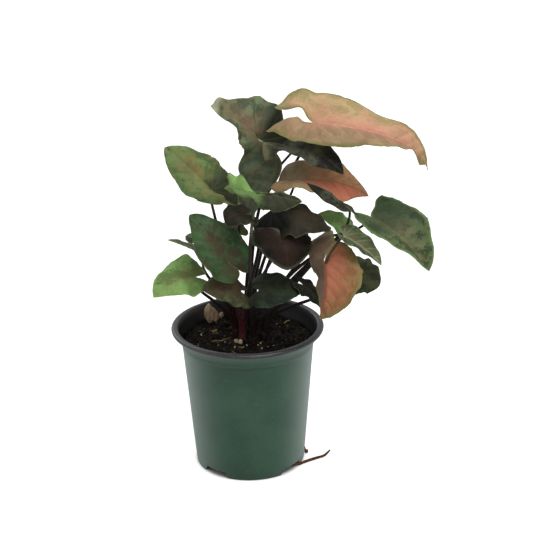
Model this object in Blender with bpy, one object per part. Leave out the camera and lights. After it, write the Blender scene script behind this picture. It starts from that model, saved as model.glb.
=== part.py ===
# Arrowhead plant with pink and green leaves, growing in a round nursery pot.
# All sizes and places below are in millimetres, +Z is up and the front of the plant looks along -Y.
# The origin is the centre of the pot's underside, on the surface that the pot stands on.
import math

import bmesh
import bpy
import numpy as np

MM = 0.001
# Clear space between pieces that touch
GAP = 0.3
# Points closer than this are one point
WELD = 0.01
# Edges sharper than this many degrees stay sharp in the shading
SHARP_EDGE = 40.0

# Pot: a nominal 4.5 inch nursery pot with a rolled lip and four drain notches
POT_HEIGHT = 110.0
RIM_RADIUS = 57.0
MOUTH_RADIUS = 52.0
LIP_DEPTH = 3.5
BODY_TOP_RADIUS = 49.3
BODY_TOP_HEIGHT = 97.0
BASE_RADIUS = 41.0
WALL = 1.4
FOOT_WIDTH = 2.4
FLOOR_LIFT = 5.6
PAD_RADIUS = 20.0
POT_STEPS = 48
NOTCH_AZIMUTHS = (50.0, 140.0, 230.0, 320.0)
NOTCH_HEIGHT = 5.0
NOTCH_WIDTH = 23.0
NOTCH_TOP_WIDTH = 17.0
NOTCH_BELOW = 3.0
NOTCH_DEPTH = 8.0
DRAIN_HOLE_RADIUS = 2.6
DRAIN_HOLE_REACH = 31.0
HOLE_SIDES = 12

# Soil: slightly uneven, a little below the lip
SOIL_HEIGHT = 98.0
SOIL_STEPS = 36
SOIL_RINGS = (44.0, 36.0, 28.0, 19.0, 9.0)
SOIL_SWELL = 1.6
SOIL_RIM_DROP = 1.0

# Leaves
BLADE_THICKNESS = 0.8
PETIOLE_FOOT_RADIUS = 1.5
PETIOLE_TIP_RADIUS = 0.85
PETIOLE_POINTS = 11
# How far ahead of the notch between the lobes a petiole ends, and its gap under the midrib
PETIOLE_SEAT = 2.0
PETIOLE_UNDER = BLADE_THICKNESS / 2.0 + GAP + 0.6 * PETIOLE_TIP_RADIUS
# Share of forward and upward direction in which a petiole meets its blade
PETIOLE_HEADING = (0.45, 0.9)
# Lengths of a petiole's straight pull at its foot and at its blade, as shares of its span
PETIOLE_RISE = 0.35
PETIOLE_REACH = 0.22
STEM_RADIUS = 3.2
STEM_RADII = (1.8, 3.0, STEM_RADIUS, 2.8, 2.0)
STEM_DEPTH = 14.0
STEM_RISE = 9.0
STEM_SIDES = 10
# The right half's waves start this share of a wave later than the left half's
WAVE_LAG = 0.37

# One half of an arrow-shaped blade, as (along, across) in lobe lengths and half widths
EAR_POINTED = ((-1.0, 0.34), (-0.80, 0.52), (-0.40, 0.80), (0.0, 1.0))
EAR_ROUND = ((-1.0, 0.46), (-0.94, 0.74), (-0.50, 0.98), (0.0, 1.0))
SINUS = ((-1.0, 0.0), (-0.80, 0.24), (-0.35, 0.08), (0.0, 0.0))
# The rest of the half's margin, in blade lengths and half widths
MARGIN_SLIM = ((0.0, 1.0), (0.22, 0.97), (0.48, 0.76), (0.72, 0.45), (0.90, 0.16), (1.0, 0.0))
MARGIN_FULL = ((0.0, 0.94), (0.25, 1.04), (0.53, 0.98), (0.78, 0.72), (0.94, 0.34), (1.0, 0.0))

# Colours, as seen on the real plant
PINK = (0.62, 0.30, 0.22)
DUSKY = (0.10, 0.11, 0.07)
GREEN = (0.13, 0.22, 0.09)
LIGHT_GREEN = (0.26, 0.42, 0.15)
BROWN_GREEN = (0.16, 0.13, 0.08)
MAROON = (0.09, 0.045, 0.04)
POT_GREEN = (0.03, 0.13, 0.09)
SOIL_BROWN = (0.035, 0.025, 0.02)
BARK_TAN = (0.50, 0.33, 0.22)
ROOT_BROWN = (0.12, 0.05, 0.02)

# Where each shoot leaves the soil
SHOOTS = {
    "shoot_tall": (2.0, 6.0),
    "shoot_left": (-9.0, 5.0),
    "shoot_front": (4.0, -10.0),
    "shoot_right": (12.0, -3.0),
    "shoot_low": (-4.0, -4.0),
    "shoot_back": (-2.0, 17.0),
}

# What a leaf has unless its own entry says otherwise. Pairs are for the left and right half,
# seen from above with the tip ahead; angles are in degrees and waves are counted along the blade.
PLAIN_LEAF = {
    "roll": 0.0, "arch": 4.0, "sway": 0.0, "bend": 0.5, "twist": 0.0,
    "fold": (8.0, 8.0), "curl": (-20.0, -25.0), "drop": (0.0, 0.0), "spread": (0.0, 0.0),
    "wave": 1.0, "waves": 2.5, "phase": 0.0, "full": (0.4, 0.4), "ear": (0.4, 0.4),
    "flare": (0.0, 0.0), "detail": "small", "heading": None, "via": None,
}
# Rows of faces in the lobes and in the blade, and columns from midrib to margin
DETAIL = {"large": (4, 9, 3), "small": (3, 6, 2)}

LEAVES = (
    dict(name="leaf_top_pink", shoot="shoot_tall", colour=PINK, detail="large",
         base=(50, -12, 270), tip=(131, -22, 234), half=(28, 18), lobe=(33, 35), roll=16, arch=15,
         bend=0.85, fold=(38, 5), curl=(-45, -35), spread=(8, 3), drop=(1, 1), wave=2.5,
         waves=2.0, full=(-0.6, -0.3), ear=(0.2, 0.2), heading=(0.1, -0.75, 0.65),
         via=(30, 54, 215)),
    dict(name="leaf_upper_left", shoot="shoot_left", colour=GREEN, detail="large",
         base=(11, 5, 253), tip=(-23, 15, 273), half=(16, 26), lobe=(33, 26), roll=-33,
         fold=(0, 0), curl=(-20, -25), spread=(34, 12), wave=2.0, flare=(1.2, 0),
         ear=(0.8, 0.4), via=(-4, 24, 200)),
    dict(name="leaf_under_top", shoot="shoot_tall", colour=DUSKY,
         base=(35, -10, 251), tip=(68, -28, 236), half=(15, 14), lobe=(16, 20), roll=25, arch=7,
         fold=(10, 10), curl=(-30, -40), drop=(3, 3), wave=1.5, heading=(0.4, -0.5, 0.7),
         via=(6, 30, 215)),
    dict(name="leaf_left", shoot="shoot_left", colour=GREEN, detail="large",
         base=(-23, -25, 225), tip=(-56, -10, 253), half=(16, 19), lobe=(9, 22), roll=-40,
         arch=3, fold=(10, 10), drop=(2, 4), wave=1.5, full=(0.6, 0.6)),
    dict(name="leaf_folded_light", shoot="shoot_front", colour=LIGHT_GREEN,
         base=(13, -45, 230), tip=(41, -50, 224), half=(9, 14), lobe=(28, 28), roll=35, arch=2,
         fold=(50, -15), curl=(-30, -30), wave=2.0, via=(2, -105, 180)),
    dict(name="leaf_center_brown", shoot="shoot_low", colour=BROWN_GREEN,
         base=(-3, -41, 208), tip=(-18, -46, 203), half=(14, 11), lobe=(6, 6), roll=-30, arch=5,
         bend=0.8, full=(0.8, 0.8), heading=(-0.6, -0.4, 0.7), via=(14, -14, 175)),
    dict(name="leaf_center_dark", shoot="shoot_tall", colour=DUSKY,
         base=(20, -26, 210), tip=(61, -33, 195), half=(13, 19), lobe=(10, 10), roll=15, arch=6,
         bend=0.6, fold=(5, 0), curl=(-30, -30), drop=(3, 3), wave=2.0),
    dict(name="leaf_center_drooping", shoot="shoot_front", colour=BROWN_GREEN,
         base=(27, -40, 191), tip=(28, -51, 165), half=(24, 26), lobe=(7, 7), arch=4,
         fold=(-12, -12), curl=(-50, -50), drop=(6, 6), full=(0.8, 0.8), ear=(1.0, 1.0),
         via=(16, -14, 160)),
    dict(name="leaf_mid_left", shoot="shoot_left", colour=GREEN, detail="large",
         base=(-12, -45, 178), tip=(-39, -30, 209), half=(16, 20), lobe=(14, 16), roll=-40,
         drop=(3, 3), wave=1.5, full=(0.7, 0.7)),
    dict(name="leaf_narrow_left", shoot="shoot_left", colour=GREEN,
         base=(-29, 4, 163), tip=(-57, -6, 181), half=(9, 9), lobe=(10, 10), roll=-10, arch=2,
         via=(-24, 14, 140)),
    dict(name="leaf_low_left", shoot="shoot_left", colour=LIGHT_GREEN, detail="large",
         base=(-36, -30, 161), tip=(-66, -50, 154), half=(14, 22), lobe=(16, 20), roll=-25,
         arch=6, curl=(-25, -25), drop=(3, 3), full=(0.5, 0.5), ear=(0.8, 0.8)),
    dict(name="leaf_low_front_left", shoot="shoot_low", colour=BROWN_GREEN,
         base=(-5, -37, 153), tip=(-31, -45, 157), half=(18, 14), lobe=(12, 10), roll=-25,
         full=(0.6, 0.6)),
    dict(name="leaf_low_front_right", shoot="shoot_front", colour=DUSKY,
         base=(10, -42, 155), tip=(41, -37, 151), half=(17, 17), lobe=(7, 9), roll=25,
         fold=(5, 5), curl=(-25, -25)),
    dict(name="leaf_right_pink", shoot="shoot_right", colour=PINK, detail="large",
         base=(56, -50, 179), tip=(51, -63, 140), half=(28, 18), lobe=(13, 30), arch=5, sway=-5,
         fold=(0, -15), curl=(-20, -30), spread=(0, -4), full=(0.2, -0.6), ear=(0.2, 0.9),
         heading=(0.1, -0.85, 0.5), via=(36, 2, 165)),
    dict(name="leaf_behind_pink", shoot="shoot_right", colour=DUSKY,
         base=(74, -25, 160), tip=(97, -30, 152), half=(17, 17), lobe=(12, 12), roll=25, arch=3,
         full=(1.0, 1.0), via=(40, 6, 118)),
    dict(name="leaf_right_green", shoot="shoot_right", colour=GREEN, detail="large",
         base=(84, -30, 195), tip=(131, -45, 168), half=(31, 10), lobe=(3, 3), roll=25, arch=10,
         fold=(20, 10), curl=(-15, -25), full=(0.8, 0.8), via=(44, -10, 168)),
    dict(name="leaf_right_narrow", shoot="shoot_right", colour=DUSKY,
         base=(75, -45, 218), tip=(44, -50, 238), half=(6, 6), lobe=(3, 3), roll=-110, arch=2,
         heading=(-0.2, -0.7, 0.7), via=(72, -14, 170)),
    dict(name="leaf_right_small", shoot="shoot_right", colour=LIGHT_GREEN,
         base=(75, -9, 188), tip=(53, -9, 200), half=(10, 10), lobe=(6, 6), roll=-30, arch=3,
         via=(50, 2, 160)),
    dict(name="leaf_right_low", shoot="shoot_right", colour=GREEN,
         base=(70, -50, 198), tip=(96, -58, 178), half=(14, 8), lobe=(6, 4), roll=10, arch=2,
         fold=(20, 20), heading=(0.1, -0.9, 0.3), via=(66, -8, 200)),
    dict(name="leaf_low_right", shoot="shoot_front", colour=DUSKY,
         base=(41, -34, 155), tip=(54, -38, 137), half=(12, 12), lobe=(7, 7), arch=3),
    dict(name="leaf_second_pink", shoot="shoot_tall", colour=PINK, detail="large",
         base=(35, -15, 227), tip=(90, -10, 213), half=(26, 18), lobe=(8, 16), roll=12, arch=6,
         fold=(12, 0), curl=(-20, -30), full=(0.5, 0.5)),
    dict(name="leaf_back_left", shoot="shoot_back", colour=GREEN, detail="large",
         base=(-18, 36, 172), tip=(-42, 60, 152), half=(21, 21), lobe=(18, 18), arch=6,
         drop=(3, 3), full=(0.5, 0.5)),
    dict(name="leaf_back_middle", shoot="shoot_back", colour=GREEN, detail="large",
         base=(6, 44, 194), tip=(10, 86, 170), half=(24, 24), lobe=(20, 20), arch=7,
         drop=(3, 3), full=(0.5, 0.5)),
    dict(name="leaf_back_right", shoot="shoot_back", colour=DUSKY, detail="large",
         base=(34, 36, 178), tip=(62, 62, 158), half=(21, 21), lobe=(18, 18), arch=6,
         drop=(3, 3), full=(0.5, 0.5)),
    dict(name="leaf_back_low", shoot="shoot_back", colour=LIGHT_GREEN,
         base=(-10, 42, 142), tip=(-18, 68, 126), half=(14, 14), lobe=(10, 10), arch=4),
)

# Loose pieces on the soil, and the root that has grown out of a drain hole
CHIP_PLACE = (-28.0, 33.0)
CHIP_SIZE = (10.0, 5.0, 17.0)
CHIP_TURN = (12.0, -24.0, 20.0)
CHIP_SINK = 2.5
BIT_PLACE = (-21.0, 40.0)
BIT_SIZE = (4.0, 3.0, 6.0)
BIT_TURN = (0.0, 20.0, 50.0)
BIT_SINK = 1.0
ROOT_POINTS = (
    (19, -15, 16), (21.5, -18, 10), (24.5, -20, 5.5), (29, -20.5, 3), (36, -19, 1.6),
    (41.5, -15, 1.2), (46, -12, 1.2), (51, -9, 1.2), (56, -6, 1.2), (59, -1, 1.2), (61.5, 4, 1.2),
)
ROOT_RADII = (0.9, 0.9, 0.9, 0.9, 0.85, 0.8, 0.8, 0.75, 0.7, 0.6, 0.4)
ROOT_STEPS = 25


def clear_scene():
    for old in list(bpy.data.objects):
        bpy.data.objects.remove(old, do_unlink=True)


def make_material(name, colour, roughness=0.5):
    material = bpy.data.materials.new(name)
    material.use_nodes = True
    shader = material.node_tree.nodes["Principled BSDF"]
    shader.inputs["Base Color"].default_value = (*colour, 1.0)
    shader.inputs["Roughness"].default_value = roughness
    return material


def add_object(name, bm, material=None, sharp=SHARP_EDGE):
    mesh = bpy.data.meshes.new(name)
    bm.to_mesh(mesh)
    bm.free()
    mesh.shade_smooth()
    mesh.set_sharp_from_angle(angle=math.radians(sharp))
    item = bpy.data.objects.new(name, mesh)
    bpy.context.scene.collection.objects.link(item)
    if material:
        mesh.materials.append(material)
    return item


def unit(vector):
    return vector / np.linalg.norm(vector)


def bezier(points, u):
    row = [np.array(point, float) for point in points]
    while len(row) > 1:
        row = [(1.0 - u) * first + u * second for first, second in zip(row, row[1:])]
    return row[0]


def smooth_line(points, count):
    # A Catmull-Rom curve through the points, at evenly spaced steps
    points = np.array(points, float)
    ends = (2 * points[0] - points[1], 2 * points[-1] - points[-2])
    knots = np.vstack([ends[0], points, ends[1]])
    line = []
    for place in np.linspace(0.0, len(points) - 1.0, count):
        index = min(int(place), len(points) - 2)
        f = place - index
        a, b, c, d = knots[index:index + 4]
        line.append(0.5 * (2 * b + (c - a) * f + (2 * a - 5 * b + 4 * c - d) * f ** 2
                           + (3 * b - a - 3 * c + d) * f ** 3))
    return np.array(line)


def mix(first, second, share):
    return np.array(first) * (1.0 - share) + np.array(second) * share


class Leaf:
    # The midrib is bent through base, knee and tip; the two halves spread from it

    def __init__(self, values):
        self.__dict__.update(PLAIN_LEAF)
        self.__dict__.update(values)
        self.base = np.array(self.base, float)
        self.tip = np.array(self.tip, float)
        chord = self.tip - self.base
        self.length = np.linalg.norm(chord)
        ahead = chord / self.length
        up = unit(np.array((0.0, 0.0, 1.0)) - ahead * ahead[2])
        side = np.cross(ahead, up)
        roll = math.radians(self.roll)
        self.face = up * math.cos(roll) + side * math.sin(roll)
        self.right = np.cross(ahead, self.face)
        self.knee = (self.base + chord * self.bend + self.face * 2.0 * self.arch
                     + self.right * 2.0 * self.sway)

    def frame(self, u):
        middle = bezier((self.base, self.knee, self.tip), u)
        ahead = unit(bezier((self.knee - self.base, self.tip - self.knee), u))
        twist = math.radians(self.twist * u)
        face = self.face * math.cos(twist) + self.right * math.sin(twist)
        right = unit(np.cross(ahead, face))
        return middle, ahead, right, np.cross(right, ahead)

    def flat_half(self, half):
        # Rows of flat (along, across) points of one half, from the inner edge to the margin
        lobe_rows, blade_rows, columns = DETAIL[self.detail]
        width = self.half[half]
        ear = mix(EAR_POINTED, EAR_ROUND, self.ear[half])
        ear[:, 1] *= 1.0 - self.flare[half] * ear[:, 0]
        margin = mix(MARGIN_SLIM, MARGIN_FULL, self.full[half])
        ear[-1] = margin[0]
        sinus = np.array(SINUS)
        sinus[0] = ear[0]
        lobe_scale = (self.lobe[half], width)
        outer_lobe = smooth_line(ear, lobe_rows + 1) * lobe_scale
        inner_lobe = smooth_line(sinus, lobe_rows + 1) * lobe_scale
        outer_blade = smooth_line(margin, blade_rows + 1) * (self.length, width)
        inner_blade = np.array([(u * self.length, 0.0) for u in np.linspace(0, 1, blade_rows + 1)])
        outer = np.vstack([outer_lobe[:-1], outer_blade])
        inner = np.vstack([inner_lobe[:-1], inner_blade])
        share = np.linspace(0.0, 1.0, columns + 1)[None, :, None]
        return inner[:, None, :] * (1.0 - share) + outer[:, None, :] * share

    def point(self, along, across, half):
        width = self.half[half]
        sign = (-1.0, 1.0)[half]
        fold = math.radians(self.fold[half])
        curl = math.radians(self.curl[half])
        middle, ahead, right, face = self.frame(max(along, 0.0) / self.length)
        if along < 0.0:
            back = (along / self.lobe[half]) ** 2
            middle = middle + ahead * along - face * self.drop[half] * back
            middle = middle + right * sign * self.spread[half] * back
        reach = across / width
        out = width / curl * (math.sin(fold + curl * reach) - math.sin(fold))
        rise = width / curl * (math.cos(fold) - math.cos(fold + curl * reach))
        turn = self.waves * along / self.length + self.phase + WAVE_LAG * half
        ripple = self.wave * reach ** 2 * math.sin(2.0 * math.pi * turn)
        return middle + right * sign * out + face * (rise + ripple)

    def seat(self):
        # Where the petiole ends, just under the midrib, and the way it points there
        middle, ahead, right, face = self.frame(0.0)
        heading = PETIOLE_HEADING[0] * ahead + PETIOLE_HEADING[1] * face
        if self.heading:
            heading = np.array(self.heading, float)
        return middle + ahead * PETIOLE_SEAT - face * PETIOLE_UNDER, unit(heading)


def add_half(bm, leaf, half):
    flat = leaf.flat_half(half)
    rows, columns = flat.shape[0] - 1, flat.shape[1] - 1
    grid = bmesh.ops.create_grid(bm, x_segments=columns, y_segments=rows, size=1.0)
    for vert in grid["verts"]:
        row = round((vert.co.y + 1.0) / 2.0 * rows)
        column = round((vert.co.x + 1.0) / 2.0 * columns)
        vert.co = leaf.point(*flat[row, column], half) * MM
    if half == 0:
        faces = {face for vert in grid["verts"] for face in vert.link_faces}
        bmesh.ops.reverse_faces(bm, faces=list(faces))


def add_leaf(leaf):
    bm = bmesh.new()
    add_half(bm, leaf, 0)
    add_half(bm, leaf, 1)
    bmesh.ops.remove_doubles(bm, verts=bm.verts, dist=WELD * MM)
    bmesh.ops.triangulate(bm, faces=bm.faces)
    item = add_object(leaf.name, bm, make_material(leaf.name, leaf.colour, 0.45))
    solidify = item.modifiers.new("Thickness", "SOLIDIFY")
    solidify.thickness = BLADE_THICKNESS * MM
    solidify.offset = 0.0
    return item


def add_tube(name, points, radii, sides=6):
    # A tapering round rod along a smooth line, with closed ends
    curve = bpy.data.curves.new(name, "CURVE")
    curve.dimensions = "3D"
    curve.bevel_depth = MM
    curve.bevel_resolution = max(sides // 2 - 2, 0)
    curve.use_fill_caps = True
    curve.render_resolution_u = 0
    spline = curve.splines.new("POLY")
    spline.points.add(len(points) - 1)
    for knot, point, radius in zip(spline.points, points, radii):
        knot.co = (*(np.array(point) * MM), 1.0)
        knot.radius = radius
    item = bpy.data.objects.new(name, curve)
    bpy.context.scene.collection.objects.link(item)
    return item


def as_mesh(item):
    # The same shape as a plain mesh object
    graph = bpy.context.evaluated_depsgraph_get()
    mesh = bpy.data.meshes.new_from_object(item.evaluated_get(graph))
    name = item.name
    curve = item.data
    bpy.data.objects.remove(item)
    bpy.data.curves.remove(curve)
    solid = bpy.data.objects.new(name, mesh)
    bpy.context.scene.collection.objects.link(solid)
    bm = bmesh.new()
    bm.from_mesh(mesh)
    bmesh.ops.remove_doubles(bm, verts=bm.verts, dist=WELD * MM)
    bmesh.ops.recalc_face_normals(bm, faces=bm.faces)
    bm.to_mesh(mesh)
    bm.free()
    return solid


def boolean(item, cutters, operation, solver="EXACT"):
    # Joins the cutters to the item or cuts them from it, then removes them
    group = bpy.data.collections.new("cutters")
    for cutter in cutters:
        for old in list(cutter.users_collection):
            old.objects.unlink(cutter)
        group.objects.link(cutter)
    bpy.context.scene.collection.children.link(group)
    step = item.modifiers.new(operation.title(), "BOOLEAN")
    step.operand_type = "COLLECTION"
    step.collection = group
    step.operation = operation
    step.solver = solver
    bpy.context.view_layer.update()
    graph = bpy.context.evaluated_depsgraph_get()
    mesh = bpy.data.meshes.new_from_object(item.evaluated_get(graph))
    item.modifiers.clear()
    item.data = mesh
    for cutter in cutters:
        bpy.data.objects.remove(cutter, do_unlink=True)
    bpy.data.collections.remove(group)


def petiole_line(leaf):
    foot_x, foot_y = SHOOTS[leaf.shoot]
    foot = np.array((foot_x, foot_y, SOIL_HEIGHT + 1.0))
    seat, heading = leaf.seat()
    span = np.linalg.norm(seat - foot)
    controls = [foot, foot + np.array((0.0, 0.0, PETIOLE_RISE * span))]
    if leaf.via:
        controls.append(np.array(leaf.via, float))
    controls += [seat - heading * PETIOLE_REACH * span, seat]
    return [bezier(controls, u) for u in np.linspace(0.0, 1.0, PETIOLE_POINTS)]


def add_shoot(name, leaves):
    x, y = SHOOTS[name]
    low = SOIL_HEIGHT - STEM_DEPTH
    high = SOIL_HEIGHT + STEM_RISE
    stem_points = [(x, y, z) for z in np.linspace(low, high, len(STEM_RADII))]
    stem = as_mesh(add_tube(name, stem_points, STEM_RADII, STEM_SIDES))
    petioles = []
    for leaf in leaves:
        line = petiole_line(leaf)
        radii = np.linspace(PETIOLE_FOOT_RADIUS, PETIOLE_TIP_RADIUS, len(line))
        petioles.append(as_mesh(add_tube(name + "_petiole", line, radii)))
    boolean(stem, petioles, "UNION")
    stem.data.materials.clear()
    stem.data.materials.append(make_material(name, MAROON, 0.5))
    stem.data.shade_smooth()
    stem.data.set_sharp_from_angle(angle=math.radians(SHARP_EDGE))
    return stem


def add_lathe(name, profile, steps, material):
    # A turned solid: the profile runs from the axis round its section and back to the axis
    bm = bmesh.new()
    verts = [bm.verts.new((radius * MM, 0.0, height * MM)) for radius, height in profile]
    edges = [bm.edges.new(pair) for pair in zip(verts, verts[1:])]
    bmesh.ops.spin(bm, geom=verts + edges, cent=(0, 0, 0), axis=(0, 0, 1), dvec=(0, 0, 0),
                   angle=2.0 * math.pi, steps=steps, use_duplicate=False)
    bmesh.ops.remove_doubles(bm, verts=bm.verts, dist=WELD * MM)
    bmesh.ops.recalc_face_normals(bm, faces=bm.faces)
    return add_object(name, bm, material)


def wall_radius(height):
    # Outer radius of the pot's plain wall
    return BASE_RADIUS + (BODY_TOP_RADIUS - BASE_RADIUS) * height / BODY_TOP_HEIGHT


def pot_profile():
    floor_top = FLOOR_LIFT + WALL
    lip_bottom = POT_HEIGHT - LIP_DEPTH
    inner_low = wall_radius(floor_top) - WALL
    inner_high = wall_radius(BODY_TOP_HEIGHT) - WALL
    foot = BASE_RADIUS - FOOT_WIDTH
    return (
        (0.0, 0.0), (PAD_RADIUS, 0.0), (PAD_RADIUS + 2.0, FLOOR_LIFT),
        (foot - 0.8, FLOOR_LIFT), (foot, 0.0), (BASE_RADIUS - 0.8, 0.0), (BASE_RADIUS, 0.8),
        (BODY_TOP_RADIUS, BODY_TOP_HEIGHT), (BODY_TOP_RADIUS + 1.2, BODY_TOP_HEIGHT + 4.0),
        (MOUTH_RADIUS + 1.0, lip_bottom - 2.0), (RIM_RADIUS - 1.6, lip_bottom),
        (RIM_RADIUS - 0.4, lip_bottom + 0.5), (RIM_RADIUS, lip_bottom + 1.6),
        (RIM_RADIUS - 0.6, POT_HEIGHT - 0.8), (RIM_RADIUS - 2.2, POT_HEIGHT),
        (MOUTH_RADIUS + 1.2, POT_HEIGHT), (MOUTH_RADIUS, POT_HEIGHT - 1.2),
        (inner_high + 1.4, BODY_TOP_HEIGHT + 3.0), (inner_high, BODY_TOP_HEIGHT),
        (inner_low, floor_top), (PAD_RADIUS + 0.8, floor_top), (PAD_RADIUS - 1.2, WALL),
        (0.0, WALL),
    )


def notch_cutter(azimuth):
    # A block with sloped ends, across the foot of the wall and a little below it
    bm = bmesh.new()
    bmesh.ops.create_cube(bm, size=1.0)
    angle = math.radians(azimuth)
    middle = BASE_RADIUS - FOOT_WIDTH / 2.0
    slope = (NOTCH_WIDTH - NOTCH_TOP_WIDTH) / NOTCH_HEIGHT
    for vert in bm.verts:
        height = NOTCH_HEIGHT if vert.co.z > 0 else -NOTCH_BELOW
        x = vert.co.x * (NOTCH_WIDTH - slope * height)
        y = middle - vert.co.y * NOTCH_DEPTH
        vert.co = (MM * (x * math.cos(angle) + y * math.sin(angle)),
                   MM * (x * math.sin(angle) - y * math.cos(angle)), MM * height)
    bmesh.ops.recalc_face_normals(bm, faces=bm.faces)
    return add_object("notch", bm)


def round_cutter(name, x, y, low, high, radius):
    bm = bmesh.new()
    bmesh.ops.create_cone(bm, cap_ends=True, segments=HOLE_SIDES, radius1=radius * MM,
                          radius2=radius * MM, depth=(high - low) * MM)
    bmesh.ops.translate(bm, verts=bm.verts, vec=(x * MM, y * MM, (low + high) / 2.0 * MM))
    return add_object(name, bm)


def drain_place(azimuth):
    angle = math.radians(azimuth)
    return DRAIN_HOLE_REACH * math.sin(angle), -DRAIN_HOLE_REACH * math.cos(angle)


def add_pot():
    pot = add_lathe("pot", pot_profile(), POT_STEPS, make_material("pot", POT_GREEN, 0.4))
    cutters = [notch_cutter(azimuth) for azimuth in NOTCH_AZIMUTHS]
    for azimuth in NOTCH_AZIMUTHS:
        x, y = drain_place(azimuth)
        cutters.append(round_cutter("drain", x, y, FLOOR_LIFT - WALL, FLOOR_LIFT + 2.0 * WALL,
                                    DRAIN_HOLE_RADIUS))
    boolean(pot, cutters, "DIFFERENCE")
    return pot


def soil_swell(x, y):
    # Low bumps that fade out towards the wall
    reach = math.hypot(x, y) / SOIL_RINGS[0]
    bumps = math.sin(0.11 * x + 0.6) * math.cos(0.13 * y - 0.4) + 0.6 * math.sin(0.21 * (x - y))
    return SOIL_SWELL * (0.35 * bumps + 0.4) * max(0.0, 1.0 - reach ** 2)


def soil_profile():
    # The soil stands in the pot with a hair's gap to floor and wall, and has a dished rim
    floor_top = FLOOR_LIFT + WALL + GAP
    low = wall_radius(floor_top) - WALL - 2.0 * GAP
    rim_height = BODY_TOP_HEIGHT - SOIL_RIM_DROP
    high = wall_radius(rim_height) - WALL - 2.0 * GAP
    profile = [(0.0, floor_top), (low, floor_top), (high, rim_height)]
    profile += [(radius, SOIL_HEIGHT) for radius in SOIL_RINGS]
    return profile + [(0.0, SOIL_HEIGHT)]


def add_soil(cutters):
    soil = add_lathe("soil", soil_profile(), SOIL_STEPS, make_material("soil", SOIL_BROWN, 0.95))
    for vert in soil.data.vertices:
        if vert.co.z > (SOIL_HEIGHT - 0.5) * MM:
            vert.co.z += soil_swell(vert.co.x / MM, vert.co.y / MM) * MM
    boolean(soil, cutters, "DIFFERENCE")
    return soil


def chip_mesh(name, place, size, turn, sink, growth=0.0):
    # A worn flake of bark that stands in the soil; growth makes it fatter all round.
    # Powers below one square the ball off, and the sines wear its corners unevenly.
    bm = bmesh.new()
    bmesh.ops.create_icosphere(bm, subdivisions=2, radius=1.0)
    for vert in bm.verts:
        x, y, z = vert.co
        worn = 1.0 + 0.10 * math.sin(3.1 * x + 2.0 * z) + 0.08 * math.cos(4.3 * z - y)
        vert.co = (math.copysign(abs(x) ** 0.8, x) * worn, math.copysign(abs(y) ** 0.7, y),
                   math.copysign(abs(z) ** 0.9, z) * (1.0 + 0.10 * math.sin(5.0 * x)))
    half = [value / 2.0 + growth for value in size]
    bmesh.ops.scale(bm, verts=bm.verts, vec=[value * MM for value in half])
    item = add_object(name, bm, sharp=60.0)
    item.rotation_euler = [math.radians(angle) for angle in turn]
    item.location = (place[0] * MM, place[1] * MM,
                     (SOIL_HEIGHT + size[2] / 2.0 - sink) * MM)
    return item


def add_chip(name, place, size, turn, sink):
    chip = chip_mesh(name, place, size, turn, sink)
    chip.data.materials.append(make_material(name, BARK_TAN, 0.8))
    return chip


def add_root():
    line = smooth_line(ROOT_POINTS, ROOT_STEPS)
    radii = smooth_line([(value,) for value in ROOT_RADII], ROOT_STEPS)[:, 0]
    root = as_mesh(add_tube("root", line, radii))
    root.data.materials.append(make_material("root", ROOT_BROWN, 0.8))
    return root


def soil_cutters():
    # Plain holes for the stems and the root, and pockets for the flakes of bark
    cutters = []
    for x, y in SHOOTS.values():
        low = SOIL_HEIGHT - STEM_DEPTH - GAP
        cutters.append(round_cutter("hole", x, y, low, SOIL_HEIGHT + 8.0, STEM_RADIUS + 2.0 * GAP))
    line = smooth_line(ROOT_POINTS, ROOT_STEPS)
    line = np.array([point for point in line if point[2] > FLOOR_LIFT - WALL])
    line[0] += unit(line[0] - line[1]) * GAP
    hole_radius = max(ROOT_RADII) + 2.0 * GAP
    cutters.append(as_mesh(add_tube("root_hole", line, [hole_radius] * len(line), 8)))
    cutters.append(chip_mesh("pocket", CHIP_PLACE, CHIP_SIZE, CHIP_TURN, CHIP_SINK, GAP))
    cutters.append(chip_mesh("pocket", BIT_PLACE, BIT_SIZE, BIT_TURN, BIT_SINK, GAP))
    return cutters


def main():
    clear_scene()
    leaves = [Leaf(values) for values in LEAVES]
    add_pot()
    add_soil(soil_cutters())
    add_chip("bark_chip", CHIP_PLACE, CHIP_SIZE, CHIP_TURN, CHIP_SINK)
    add_chip("bark_chip_small", BIT_PLACE, BIT_SIZE, BIT_TURN, BIT_SINK)
    add_root()
    for name in SHOOTS:
        add_shoot(name, [leaf for leaf in leaves if leaf.shoot == name])
    for leaf in leaves:
        add_leaf(leaf)


if __name__ == "__main__":
    main()
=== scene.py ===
# Looks of the arrowhead plant in its green nursery pot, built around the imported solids.
# Sizes in the dictionaries are millimetres, and metres for the floor, lamps and camera.
# +Z is up and the front of the plant looks along -Y.
import math
import random

import bmesh
import bpy
import numpy as np
from mathutils import Matrix, Vector, noise


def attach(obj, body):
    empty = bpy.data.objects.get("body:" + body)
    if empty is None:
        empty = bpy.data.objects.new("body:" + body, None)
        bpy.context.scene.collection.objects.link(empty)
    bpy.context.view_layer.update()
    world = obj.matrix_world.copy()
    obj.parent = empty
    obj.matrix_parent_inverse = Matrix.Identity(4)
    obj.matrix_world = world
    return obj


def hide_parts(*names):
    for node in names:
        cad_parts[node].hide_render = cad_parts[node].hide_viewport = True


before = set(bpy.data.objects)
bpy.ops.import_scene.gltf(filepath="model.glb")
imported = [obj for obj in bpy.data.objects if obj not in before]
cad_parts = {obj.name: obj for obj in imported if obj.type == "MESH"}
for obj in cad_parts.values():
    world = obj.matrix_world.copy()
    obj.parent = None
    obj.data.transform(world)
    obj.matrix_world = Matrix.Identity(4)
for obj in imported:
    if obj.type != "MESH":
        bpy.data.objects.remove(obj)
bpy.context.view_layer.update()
mm = 0.001
weld = 0.002 * mm


# Small helpers

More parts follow.
